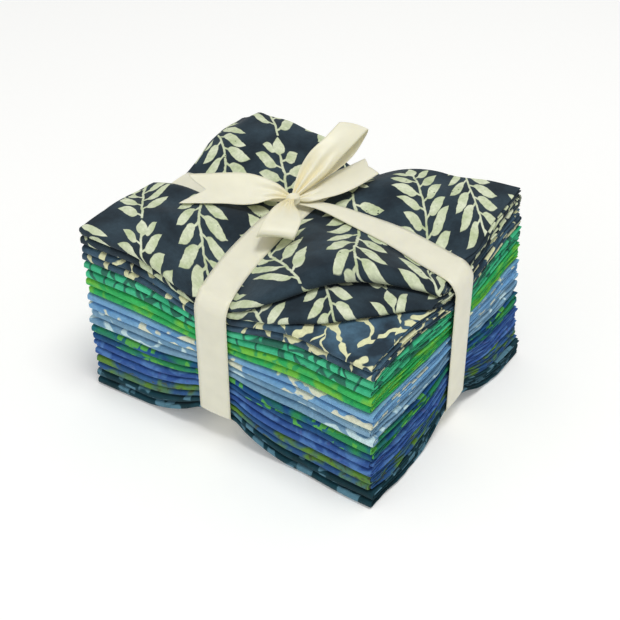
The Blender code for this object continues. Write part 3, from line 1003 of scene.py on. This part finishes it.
@dataclass(frozen=True)
class Cotton:
    """Plain-woven quilting cotton, dyed in a wax-resist way: matte, and softly mottled all over."""

    ground: str
    deep: str
    cloud: float = 16.0
    thread: float = 0.7
    edge: float = 0.14

    def design(self, s: Sketch, at: Feed, ground: Feed) -> Feed:
        """Draws the print over the ground.

        Args:
            s: The material being drawn.
            at: The place on the cloth in millimetres.
            ground: The ground's colour.

        Returns:
            The printed colour.
        """
        return ground

    def wander(self, s: Sketch, at: Feed, size: float, far: float) -> Feed:
        """Moves the place on the cloth by up to far millimetres, in bends size millimetres apart."""
        drift = s.add("TexNoise", at, 1 / size, 1.0, 0.5)
        return s.add("VectorMath.MULTIPLY_ADD", drift.outputs["Color"], (far, far, 0.0), at)

    def lay(self, s: Sketch, inside: Feed, soft: float, strength: float, under: Feed, dye: Feed) -> Feed:
        """Lays a dye over a colour where a field is above 0, blurred by soft on both sides of 0."""
        mask = s.add("MapRange", inside, -soft, soft, 0.0, strength)
        return s.add("Mix.RGBA", mask, under, dye)

    def material(self, name: str) -> bpy.types.Material:
        """Draws the dyed ground, the print and the weave.

        Args:
            name: The material's name.

        Returns:
            The finished material.
        """
        s = Sketch(name)
        at = s.cloth_place()
        clouds = s.add("TexNoise", at, 1 / self.cloud, 3.0, 0.55)
        spread = s.add("MapRange", clouds, 0.36, 0.64, 0.0, 1.0)
        ground = s.add("Mix.RGBA", spread, self.ground, self.deep)
        grain = s.add("TexNoise", at, 1 / 1.6, 2.0, 0.7)
        shade = s.add("MapRange", grain, 0.3, 0.7, 0.86, 1.1)
        tinted = s.add("VectorMath.SCALE", self.design(s, at, ground), shade)
        # The threads are really 0.35 mm apart, and are drawn at twice that to show at all.
        scale = 1 / self.thread / 3.14
        warp, weft = (s.add("TexWave", at, scale, 0.6, 0.0, bands_direction=way) for way in "XY")
        weave = s.add("Math.ADD", warp.outputs["Fac"], weft.outputs["Fac"])
        return s.surface({
            "Base Color": tinted,
            "Roughness": 0.86,
            "Specular IOR Level": 0.22,
            "Sheen Weight": 0.06,
            "Sheen Roughness": 0.5,
            "Normal": s.add("Bump", 0.12, 0.0002, None, weave),
        })


@dataclass(frozen=True)
class LeafSprigs(Cotton):
    """Pale leaf sprigs, left by the wax on a dark ground, on stems that wander up and down the cloth."""

    leaf: str = "#DDE3C8"
    leaf_shade: str = "#B9C69C"
    speck: str = "#4A5547"
    lane: float = 27.6
    spacing: float = 9.8
    stagger: float = 0.22
    lean: float = 43.0
    turned: float = 38.0
    leaf_long: float = 17.6
    leaf_half: float = 3.25
    tip_half: float = 2.9
    bend: float = 1.5
    stalk: float = 2.2
    stem_half: float = 0.5
    sway: float = 1.1
    sway_long: float = 64.0
    sprig_long: float = 112.0
    leaves_to: float = 0.9
    stem_to: float = 0.94
    lane_shift: float = 90.0
    drift_long: float = 95.0
    drift_far: float = 38.0
    rough_long: float = 5.0
    rough_far: float = 1.5
    merge: float = 0.35

    def lens(self, s: Sketch, place: Feed, half: Feed) -> Feed:
        """A leaf's half width at a place from 0 at its foot to 1 at its tip.

        Args:
            s: The material being drawn.
            place: The place along the leaf.
            half: The leaf's half width at its widest.

        Returns:
            The half width there.
        """
        fuller = s.add("Math.POWER", s.add("Clamp", place), 0.82)
        bulge = s.add("Math.MULTIPLY", fuller, s.add("Math.SUBTRACT", 1.0, fuller))
        wide = s.add("Math.POWER", s.add("Math.MULTIPLY", bulge, 4.0), 1.3)
        return s.add("Math.MULTIPLY_ADD", wide, half, -0.25)

    def wax(self, s: Sketch, at: Feed) -> Feed:
        """Draws the sprigs in lanes that a slow drift bends, each leaf a little unlike the next.

        Args:
            s: The material being drawn.
            at: The place on the cloth in millimetres.

        Returns:
            Millimetres inside the nearest leaf or stem.
        """
        lean = math.radians(self.lean)
        far = (self.drift_far, self.drift_far, 0.0)
        drift = s.add("TexNoise", at, 1 / self.drift_long, 0.0, 0.5)
        wavy = s.add("VectorMath.MULTIPLY_ADD", drift.outputs["Color"], far, at)
        little = (self.rough_far, self.rough_far, 0.0)
        rough = s.add("TexNoise", at, 1 / self.rough_long, 2.0, 0.6)
        wavy = s.add("VectorMath.MULTIPLY_ADD", rough.outputs["Color"], little, wavy)
        turned = s.add("Mapping", wavy, (0.0, 0.0, 0.0), (0.0, 0.0, math.radians(self.turned)))
        split = s.add("SeparateXYZ", turned)
        lanes = s.add("Math.DIVIDE", split.outputs[0], self.lane)
        lane = s.add("Math.FLOOR", lanes)
        across = s.add("Math.MULTIPLY_ADD", s.add("Math.FRACT", lanes), self.lane, -self.lane / 2)
        # Every other lane grows the other way, and each starts at a place of its own.
        chance = s.add("TexWhiteNoise", lane, noise_dimensions="1D")
        way = s.add("Math.MULTIPLY_ADD", s.add("Math.FLOORED_MODULO", lane, 2.0), 2.0, -1.0)
        up = s.add("Math.MULTIPLY", split.outputs[1], way)
        run = s.add("Math.MULTIPLY_ADD", chance.outputs["Value"], self.lane_shift, up)
        swing = s.add("Math.SINE", s.add("Math.DIVIDE", run, self.sway_long / math.tau))
        off = s.add("Math.MULTIPLY_ADD", swing, -self.sway, across)
        side = s.add("Math.SIGN", off)
        reach = s.add("Math.ABSOLUTE", off)
        # Each leaf has a cell that leans away from the stem, and three chances of its own.
        root = s.add("Math.MULTIPLY_ADD", reach, -1 / math.tan(lean), run)
        order = s.add("Math.MULTIPLY_ADD", side, self.stagger, s.add("Math.DIVIDE", root, self.spacing))
        number = s.add("Math.FLOOR", order)
        step = self.spacing * math.sin(lean)
        aside = s.add("Math.MULTIPLY_ADD", s.add("Math.FRACT", order), step, -step / 2)
        key = s.add("CombineXYZ", number, lane, side)
        chances = s.add("SeparateColor", s.add("TexWhiteNoise", key).outputs["Color"])
        # Each leaf is shown or left out whole, so its place on the sprig is that of its cell.
        middle = s.add("Math.MULTIPLY_ADD", side, -self.stagger, s.add("Math.ADD", number, 0.5))
        sprig = s.add("Math.FRACT", s.add("Math.MULTIPLY", middle, self.spacing / self.sprig_long))
        taper = s.add("MapRange", sprig, 0.76, 0.94, 1.0, 0.5)
        shown = s.add("Math.LESS_THAN", sprig, self.leaves_to)
        along = s.add("Math.MULTIPLY_ADD", reach, 1 / math.sin(lean), -self.stalk)
        long = s.add("MapRange", chances.outputs[0], 0.0, 1.0, 0.74 * self.leaf_long, self.leaf_long)
        place = s.add("Math.DIVIDE", along, s.add("Math.MULTIPLY", long, taper))
        half = s.add("MapRange", chances.outputs[1], 0.0, 1.0, 0.84 * self.leaf_half, 1.04 * self.leaf_half)
        half = s.add("Math.MULTIPLY", half, s.add("Math.MULTIPLY", s.add("Math.SQRT", taper), shown))
        bend = s.add("MapRange", chances.outputs[2], 0.0, 1.0, -self.bend, self.bend)
        curved = s.add("Math.MULTIPLY_ADD", s.add("Math.MULTIPLY", place, place), bend, aside)
        axis = s.add("Math.ABSOLUTE", curved)
        leaf = s.add("Math.SUBTRACT", self.lens(s, place, half), axis)
        near = s.add("Math.MULTIPLY", s.add("Math.LESS_THAN", along, self.stalk + 1.4), shown)
        stalk = s.add("Math.MULTIPLY_ADD", near, 1.5, s.add("Math.SUBTRACT", -1.0, axis))
        # The stem runs up the lane to a leaf at its tip.
        stem_place = s.add("Math.FRACT", s.add("Math.DIVIDE", run, self.sprig_long))
        grown = s.add("Math.LESS_THAN", stem_place, self.stem_to)
        stem = s.add("Math.MULTIPLY_ADD", grown, self.stem_half + 1.0, s.add("Math.SUBTRACT", -1.0, reach))
        tip = s.add("MapRange", stem_place, 0.89, 0.997, 0.0, 1.0)
        tip_leaf = s.add("Math.SUBTRACT", self.lens(s, tip, self.tip_half), reach)
        leaves = s.add("Math.MAXIMUM", leaf, stalk)
        return s.add("Math.SMOOTH_MAX", leaves, s.add("Math.MAXIMUM", stem, tip_leaf), self.merge)

    def design(self, s: Sketch, at: Feed, ground: Feed) -> Feed:
        """Lays the sprigs in two pale tones, with a few dark specks where the wax cracked.

        Args:
            s: The material being drawn.
            at: The place on the cloth in millimetres.
            ground: The ground's colour.

        Returns:
            The printed colour.
        """
        bloom = s.add("MapRange", s.add("TexNoise", at, 1 / 8.0, 3.0, 0.6), 0.35, 0.68, 0.0, 1.0)
        pale = s.add("Mix.RGBA", bloom, self.leaf, self.leaf_shade)
        dots = s.add("TexVoronoi", at, 1 / 2.6)
        patch = s.add("MapRange", s.add("TexNoise", at, 1 / 11.0, 1.0, 0.5), 0.5, 0.66, 0.0, 0.16)
        dotted = s.add("Math.LESS_THAN", dots.outputs["Distance"], patch)
        pale = s.add("Mix.RGBA", dotted, pale, self.speck)
        return self.lay(s, self.wax(s, at), self.edge, 1.0, ground, pale)


@dataclass(frozen=True)
class Branches(Cotton):
    """Thick and thin forked branches in pale wax over slate."""

    branch: str = "#E2E3B6"
    cell: float = 15.0
    thick: float = 1.5

    def design(self, s: Sketch, at: Feed, ground: Feed) -> Feed:
        """Draws the branches along the borders of loose cells, thick here and gone there.

        Args:
            s: The material being drawn.
            at: The place on the cloth in millimetres.
            ground: The ground's colour.

        Returns:
            The printed colour.
        """
        long = s.add("VectorMath.MULTIPLY", self.wander(s, at, 9.0, 9.0), (1.3, 0.7, 1.0))
        border = s.add("TexVoronoi", long, 1 / self.cell, feature="DISTANCE_TO_EDGE")
        away = s.add("Math.MULTIPLY", border, self.cell)
        swell = s.add("MapRange", s.add("TexNoise", at, 1 / 6.0, 1.0, 0.5), 0.34, 0.66, -0.25, self.thick)
        return self.lay(s, s.add("Math.SUBTRACT", swell, away), self.edge, 1.0, ground, self.branch)


@dataclass(frozen=True)
class Mosaic(Cotton):
    """Small uneven tiles parted by dark veins."""

    vein: str = "#2C6055"
    tile: float = 8.0
    vein_half: float = 0.46

    def design(self, s: Sketch, at: Feed, ground: Feed) -> Feed:
        """Draws veins round the tiles, with darker runs where several tiles are missing.

        Args:
            s: The material being drawn.
            at: The place on the cloth in millimetres.
            ground: The ground's colour.

        Returns:
            The printed colour.
        """
        squat = s.add("VectorMath.MULTIPLY", self.wander(s, at, 9.0, 4.0), (1.05, 0.62, 1.0))
        tiles = s.add("TexVoronoi", squat, 1 / self.tile, feature="DISTANCE_TO_EDGE")
        away = s.add("Math.MULTIPLY", tiles, self.tile)
        gaps = s.add("MapRange", s.add("TexNoise", at, 1 / 10.0, 1.0, 0.5), 0.54, 0.74, self.vein_half, 2.0)
        tone = s.add("TexVoronoi", squat, 1 / self.tile)
        lift = s.add("MapRange", tone.outputs["Color"], 0.0, 1.0, 0.8, 1.2)
        toned = s.add("VectorMath.SCALE", ground, lift)
        return self.lay(s, s.add("Math.SUBTRACT", gaps, away), 0.15, 0.9, toned, self.vein)


@dataclass(frozen=True)
class Blotches(Cotton):
    """Two colours of dye that run into each other, with a third in small flecks."""

    other: str = "#4CC31F"
    fleck: str = "#2B9A4E"
    size: float = 14.0
    fleck_size: float = 4.0
    fleck_share: float = 0.62

    def design(self, s: Sketch, at: Feed, ground: Feed) -> Feed:
        """Draws the second dye in soft clouds and the third in crisper flecks.

        Args:
            s: The material being drawn.
            at: The place on the cloth in millimetres.
            ground: The ground's colour.

        Returns:
            The printed colour.
        """
        clouds = s.add("TexNoise", at, 1 / self.size, 2.0, 0.5, None, 0.6)
        share = s.add("MapRange", clouds, 0.48, 0.6, 0.0, 1.0)
        dyed = s.add("Mix.RGBA", share, ground, self.other)
        flecks = s.add("TexNoise", at, 1 / self.fleck_size, 1.0, 0.5, None, 0.8)
        crisp = s.add("MapRange", flecks, self.fleck_share, self.fleck_share + 0.05, 0.0, 0.85)
        return s.add("Mix.RGBA", crisp, dyed, self.fleck)


@dataclass(frozen=True)
class Strokes(Cotton):
    """Short pale brush strokes that curve over a light ground."""

    stroke: str = "#E8E9CC"
    cell: float = 17.0
    radius: float = 0.36
    half: float = 0.8
    stretch: float = 1.7
    rare: float = 0.45

    def design(self, s: Sketch, at: Feed, ground: Feed) -> Feed:
        """Draws each stroke as a part of a long ring about a scattered point.

        Args:
            s: The material being drawn.
            at: The place on the cloth in millimetres.
            ground: The ground's colour.

        Returns:
            The printed colour.
        """
        long = s.add("VectorMath.MULTIPLY", self.wander(s, at, 11.0, 7.0), (1 / self.stretch, 1.0, 1.0))
        rings = s.add("TexVoronoi", long, 1 / self.cell)
        away = s.add("Math.SUBTRACT", rings.outputs["Distance"], self.radius)
        away = s.add("Math.MULTIPLY", s.add("Math.ABSOLUTE", away), self.cell)
        strong = s.add("TexNoise", at, 1 / 7.0, 1.0, 0.5)
        swell = s.add("MapRange", strong, self.rare, 0.68, -0.2, 2 * self.half)
        return self.lay(s, s.add("Math.SUBTRACT", swell, away), 0.2, 0.92, ground, self.stroke)


@dataclass(frozen=True)
class Patches(Cotton):
    """Small squarish patches, set in loose rows, over a second dye in clouds."""

    patch: str = "#52798A"
    under: str = "#123F66"
    size: float = 5.6
    cover: float = 0.34
    rare: float = 0.42

    def design(self, s: Sketch, at: Feed, ground: Feed) -> Feed:
        """Draws the patches where a slow cloud lets them show.

        Args:
            s: The material being drawn.
            at: The place on the cloth in millimetres.
            ground: The ground's colour.

        Returns:
            The printed colour.
        """
        clouds = s.add("TexNoise", at, 1 / 18.0, 2.0, 0.5, None, 0.4)
        share = s.add("MapRange", clouds, 0.46, 0.6, 0.0, 1.0)
        dyed = s.add("Mix.RGBA", share, ground, self.under)
        wavy = self.wander(s, at, 5.0, 2.4)
        cells = s.add("TexVoronoi", wavy, 1 / self.size, None, None, None, 0.62, distance="CHEBYCHEV")
        shown = s.add("MapRange", s.add("TexNoise", at, 1 / 13.0, 1.0, 0.5), self.rare, 0.6, 0.0, self.cover)
        inside = s.add("Math.SUBTRACT", shown, cells.outputs["Distance"])
        return self.lay(s, inside, 0.03, 0.9, dyed, self.patch)


@dataclass(frozen=True)
class Satin:
    """Polyester satin ribbon: long floats give a soft sheen, each edge has a fine woven selvedge, and
    light that comes through the thin cloth warms its shaded side."""

    colour: str = "#F2EDD3"
    rim: str = "#EAE5CA"
    # The colour painted into the knot's pleats as painted warm bounce light.
    painted_bounce: str = "#EBD79A"
    selvedge: float = 0.7

    def material(self, name: str) -> bpy.types.Material:
        """Draws the satin's sheen, its fine cross grain, its selvedges and the painted warm bounce light in
        the knot's pleats.

        Args:
            name: The material's name.

        Returns:
            The finished material.
        """
        s = Sketch(name)
        at = s.cloth_place()
        side = s.add("Math.SUBTRACT", s.add("SeparateXYZ", at).outputs[0], RIBBON_WIDE / 2)
        inset = RIBBON_WIDE / 2 - self.selvedge
        rim = s.add("MapRange", s.add("Math.ABSOLUTE", side), inset - 0.15, inset + 0.15, 0.0, 1.0)
        colour = s.add("Mix.RGBA", rim, self.colour, self.rim)
        # Painted light: the knot's pleats are painted warmer, standing in for light that bounces many times
        # between them.
        painted_bounce = s.add("Attribute", attribute_name=PAINTED_BOUNCE_NAME)
        deep = s.add("Math.MULTIPLY", painted_bounce.outputs["Fac"], 0.75)
        colour = s.add("Mix.RGBA", deep, colour, self.painted_bounce)
        cloud = s.add("MapRange", s.add("TexNoise", at, 1 / 9.0, 2.0, 0.5), 0.3, 0.7, 0.96, 1.03)
        # The weft is really 0.1 mm apart, and is drawn at 0.6 mm so that its grain shows.
        grain = s.add("TexNoise", s.add("VectorMath.MULTIPLY", at, (0.35, 1.7, 1.0)), 1.0, 1.0, 0.6)
        height = s.add("Math.MULTIPLY_ADD", rim, 0.8, grain)
        return s.surface({
            "Base Color": s.add("VectorMath.SCALE", colour, cloud),
            "Roughness": 0.44,
            "Anisotropic": 0.5,
            "Sheen Weight": 0.15,
            "Sheen Roughness": 0.35,
            "Subsurface Weight": 0.28,
            "Subsurface Radius": (1.0, 0.86, 0.5),
            "Subsurface Scale": 0.0012,
            "Normal": s.add("Bump", 0.1, 0.0002, None, height),
        })


@dataclass(frozen=True)
class Studio:
    """A pale floor, soft light and the camera at the picture's angle."""

    azimuth: float = 32.0
    elevation: float = 37.9
    distance: float = 560.0
    aim_right: float = 2.24
    aim_up: float = -7.14
    aim_high: float = 40.04
    focal_px: float = 1321.0
    frame_px: float = 620.0
    sensor: float = 36.0
    floor_wide: float = 6.0
    floor_colour: str = "#F7F7F6"
    floor_glow: float = 0.14
    surround: float = 0.5

    def camera(self) -> None:
        """Places the camera at the picture's angle."""
        a, e = math.radians(self.azimuth), math.radians(self.elevation)
        back = Vector((math.sin(a) * math.cos(e), -math.cos(a) * math.cos(e), math.sin(e)))
        right = Vector((math.cos(a), math.sin(a), 0.0))
        up = back.cross(right)
        aim = Vector((-ORIGIN_X, 0.0, self.aim_high)) + right * self.aim_right + up * self.aim_up
        data = bpy.data.cameras.new("camera")
        data.sensor_width = self.sensor
        data.lens = self.focal_px / self.frame_px * self.sensor
        data.clip_start = 0.01
        eye = bpy.data.objects.new("camera", data)
        turn = Matrix((right, up, back)).transposed().to_4x4()
        eye.matrix_world = Matrix.Translation((aim + back * self.distance) * MM) @ turn
        bpy.context.scene.collection.objects.link(eye)
        bpy.context.scene.camera = eye

    def lamp(self, name: str, at: Point, wide: float, watts: float, colour: str) -> None:
        """Adds a soft lamp that faces the bundle.

        Args:
            name: The lamp's name.
            at: Its place in metres.
            wide: Its side in metres.
            watts: Its power.
            colour: Its colour.
        """
        data = bpy.data.lights.new(name, "AREA")
        data.size = wide
        data.energy = watts
        data.color = linear(colour)[:3]
        lamp = bpy.data.objects.new(name, data)
        lamp.location = at
        lamp.rotation_euler = (Vector((0, 0, 0.04)) - Vector(at)).to_track_quat("-Z", "Y").to_euler()
        bpy.context.scene.collection.objects.link(lamp)

    def build(self) -> None:
        """Sets up the floor, the lamps, the surrounding light and the camera."""
        bpy.ops.mesh.primitive_plane_add(size=self.floor_wide)
        floor = bpy.context.object
        floor.name = "floor"
        paper = {"Base Color": self.floor_colour, "Roughness": 0.9, "Emission Color": "#FFFFFF",
                 "Emission Strength": self.floor_glow}
        floor.data.materials.append(Sketch("floor_paper").surface(paper))
        world = bpy.data.worlds.new("studio")
        world.use_nodes = True
        background = world.node_tree.nodes["Background"]
        background.inputs[0].default_value = linear("#FFFFFF")
        background.inputs[1].default_value = self.surround
        bpy.context.scene.world = world
        self.lamp("key", (0.3, -0.1, 1.4), 0.5, 9.5, "#FFFFFC")
        self.lamp("fill", (-0.5, -1.1, 0.6), 0.9, 2.0, "#FAFCFF")
        # The print's inks are given as plain sRGB, so the view leaves them as they are.
        bpy.context.scene.view_settings.view_transform = "Standard"
        self.camera()


# The quarters from the bottom up, each with the print that it is dyed with.
QUARTERS = (
    (QuarterForm("teal", 0, 0.2, 0.8, 0.4, -1.0, 6.0),
     Patches("#0C3A46", "#123F4A", patch="#5C889B", under="#0A3038", size=6.0, cover=0.46, rare=0.3)),
    (QuarterForm("olive", 1, 0.4, -0.2, 0.0, -0.4, 4.2),
     Blotches("#336196", "#264E80", other="#608C36", fleck="#4C5A44", size=15.0, fleck_size=3.2)),
    (QuarterForm("periwinkle", 2, 0.0, 0.5, 0.5, 0.2, 3.4),
     Blotches("#3B63A8", "#2A5092", other="#5380BC", fleck="#4E62A0", size=9.0, fleck_size=5.0,
              fleck_share=0.66)),
    (QuarterForm("blue_green", 3, 0.6, 0.1, -0.3, 0.0, 3.0),
     Patches("#1D5795", "#194A70", patch="#5DB548", under="#2C8F56", size=4.4, cover=0.45, rare=0.36)),
    (QuarterForm("grey_blue", 4, -0.2, 0.4, 0.3, 0.5, 2.2),
     Strokes("#86ABC4", "#6D99B8", stroke="#D2ECEF", cell=12.0, half=0.6, rare=0.34)),
    (QuarterForm("sky", 5, 0.3, 0.7, 0.0, 0.2, 1.6),
     Strokes("#82B2D6", "#689DCB", cell=18.0, half=1.8, rare=0.38, stretch=2.4)),
    (QuarterForm("lime", 6, 0.7, 0.0, 0.4, 0.9, 1.6),
     Blotches("#3CBC62", "#26A65E", other="#76C748", fleck="#23A062", size=12.0, fleck_size=7.0)),
    (QuarterForm("emerald", 7, 0.1, 0.5, 0.2, 0.6, 1.0), Mosaic("#50CA98", "#35B582")),
    (QuarterForm("slate", 8, 0.5, 0.0, -0.2, 1.0, 0.6), Branches("#233340", "#4A6A80")),
    (QuarterForm("leaf", 9, 0.4, 0.8, 0.4, 1.6, -0.4, across=66, top_along=60),
     LeafSprigs("#1D2932", "#31424D", cloud=20.0)),
)

# Each strip from the knot to its end, as the places of its left and its right edge.
LOOP_BACK = (
    ((-11.9, 9.3, 80.6), (-9.2, 9.7, 80.6)),
    ((-14.2, 18.4, 86.4), (-4.4, 22.9, 85.0)),
    ((-13.4, 25.0, 92.0), (-2.4, 32.0, 89.0)),
    ((-10.8, 33.4, 96.0), (-0.6, 40.2, 92.5)),
    ((-9.8, 42.4, 98.6), (0.6, 48.6, 95.2)),
    ((-10.6, 45.0, 97.2), (-0.2, 51.2, 93.8)),
    ((-11.4, 44.6, 94.6), (-0.8, 50.6, 91.4)),
    ((-14.0, 38.0, 89.0), (-1.4, 42.6, 86.6)),
    ((-15.6, 30.0, 85.6), (-3.0, 33.6, 83.8)),
    ((-14.2, 20.0, 82.4), (-6.0, 22.2, 81.8)),
    ((-11.7, 9.4, 79.7), (-9.4, 9.6, 79.7)),
)
LOOP_FRONT = (
    ((-11.8, 6.4, 80.6), (-9.2, 6.2, 80.6)),
    ((-10.6, -2.2, 83.8), (-4.2, -1.2, 83.2)),
    ((-8.6, -10.8, 86.0), (1.6, -6.4, 85.0)),
    ((-6.6, -18.6, 86.6), (5.6, -11.4, 85.4)),
    ((-5.6, -23.8, 85.4), (6.8, -15.8, 83.8)),
    ((-5.6, -26.0, 83.2), (6.8, -17.8, 81.6)),
    ((-6.8, -24.6, 80.9), (5.8, -17.0, 79.6)),
    ((-9.0, -18.4, 79.4), (3.6, -12.6, 79.0)),
    ((-11.2, -9.0, 79.3), (-0.4, -5.4, 79.1)),
    ((-11.9, -2.0, 79.4), (-5.6, -0.6, 79.3)),
    ((-11.6, 6.3, 79.6), (-9.4, 6.2, 79.6)),
)
TAIL_LEFT = (
    ((-12.4, 8.9, 80.4), (-12.4, 7.0, 79.5)),
    ((-18.2, 9.4, 83.4), (-17.4, 3.0, 79.6)),
    ((-25.6, 8.4, 85.0), (-21.6, -2.8, 79.3)),
    ((-32.6, 6.4, 85.6), (-26.6, -6.4, 79.1)),
    ((-39.6, 3.6, 85.0), (-32.6, -10.0, 79.6)),
    ((-46.8, 0.0, 84.2), (-39.4, -15.4, 80.4)),
    ((-54.6, -4.4, 83.6), (-47.0, -21.6, 81.2)),
)
TAIL_RIGHT = (
    ((-9.2, 9.2, 79.8), (-8.8, 7.8, 79.5)),
    ((-8.0, 17.6, 79.6), (-4.0, 10.2, 79.7)),
    ((-7.6, 26.0, 79.5), (0.6, 14.4, 80.2)),
    ((-6.8, 33.4, 79.4), (5.0, 20.2, 80.6)),
    ((-4.6, 41.6, 79.3), (8.4, 29.0, 80.8)),
    ((-1.6, 51.6, 79.2), (10.8, 42.0, 80.8)),
)
BAND_B_WIDTHS = (
    (-66.0, 15.0), (-44.0, 14.0), (-26.0, 10.0), (-14.0, 5.0), (-4.0, 4.4), (1.0, 5.0), (13.0, 8.5),
    (33.0, 12.5), (50.0, 14.6), (66.0, 15.0),
)


@dataclass
class Bundle:
    """The ten folded quarters with the ribbon, its knot and its bow."""

    shape: StackShape = field(default_factory=StackShape)
    flat_quarter: tuple[float, float] = (0.457, 0.559)

    def settle(self, piece: Piece, node: str, material: bpy.types.Material) -> None:
        """Dresses a piece, hides the part's node that it replaces, and hangs it under the root body.

        Args:
            piece: The finished piece.
            node: The part's node that it replaces.
            material: The piece's finish.
        """
        piece.data.materials.clear()
        piece.data.materials.append(material)
        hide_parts(node)
        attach(piece, "root")
        LOG.info("%s: %d faces", piece.name, len(piece.data.polygons))

    def quarters(self) -> None:
        """Folds and prints the ten quarters."""
        for form, cotton in QUARTERS:
            piece = FoldedQuarter(self.shape, form).build()
            self.settle(piece, form.node, cotton.material("batik_" + form.dye))

    def bands(self, satin: bpy.types.Material) -> None:
        """Wraps the ribbon round the stack both ways.

        Args:
            satin: The ribbon's finish.
        """
        shape = self.shape
        short = RibbonBand("band_short_way", "ribbon_band_a", shape, Way.SHORT, -shape.half_y - 0.9,
                           shape.half_y + 0.9, round_low=5.2)
        long = RibbonBand("band_long_way", "ribbon_band_b", shape, Way.LONG, -shape.half_x - 1.0,
                          shape.half_x + 1.4, over=3.6, round_high=5.8, widths=BAND_B_WIDTHS)
        for band in (short, long):
            piece = band.build()
            self.settle(piece, band.node, satin)

    def bow(self, satin: bpy.types.Material) -> None:
        """Ties the bow.

        Args:
            satin: The ribbon's finish.
        """
        strips = (
            RibbonStrip("loop_back", LOOP_BACK, gather_start=0.3, gather_end=0.3),
            RibbonStrip("loop_front", LOOP_FRONT, gather_start=0.3, gather_end=0.3),
            RibbonStrip("tail_left", TAIL_LEFT, gather_start=0.5, notch=0.16),
            RibbonStrip("tail_right", TAIL_RIGHT, gather_start=0.5, notch=0.05),
        )
        for strip in strips:
            piece = strip.build()
            self.settle(piece, "bow_" + strip.name, satin)
        self.settle(Knot().build(), "ribbon_knot", satin)

    def build(self) -> None:
        """Builds everything in order."""
        self.quarters()
        satin = Satin().material("satin_ribbon")
        self.bands(satin)
        self.bow(satin)


def main() -> None:
    """Builds the bundle and its studio."""
    logging.basicConfig(level=logging.INFO, format="%(message)s")
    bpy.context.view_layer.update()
    bpy.ops.object.select_all(action="DESELECT")
    Bundle().build()
    Studio().build()


if __name__ == "__main__":
    main()
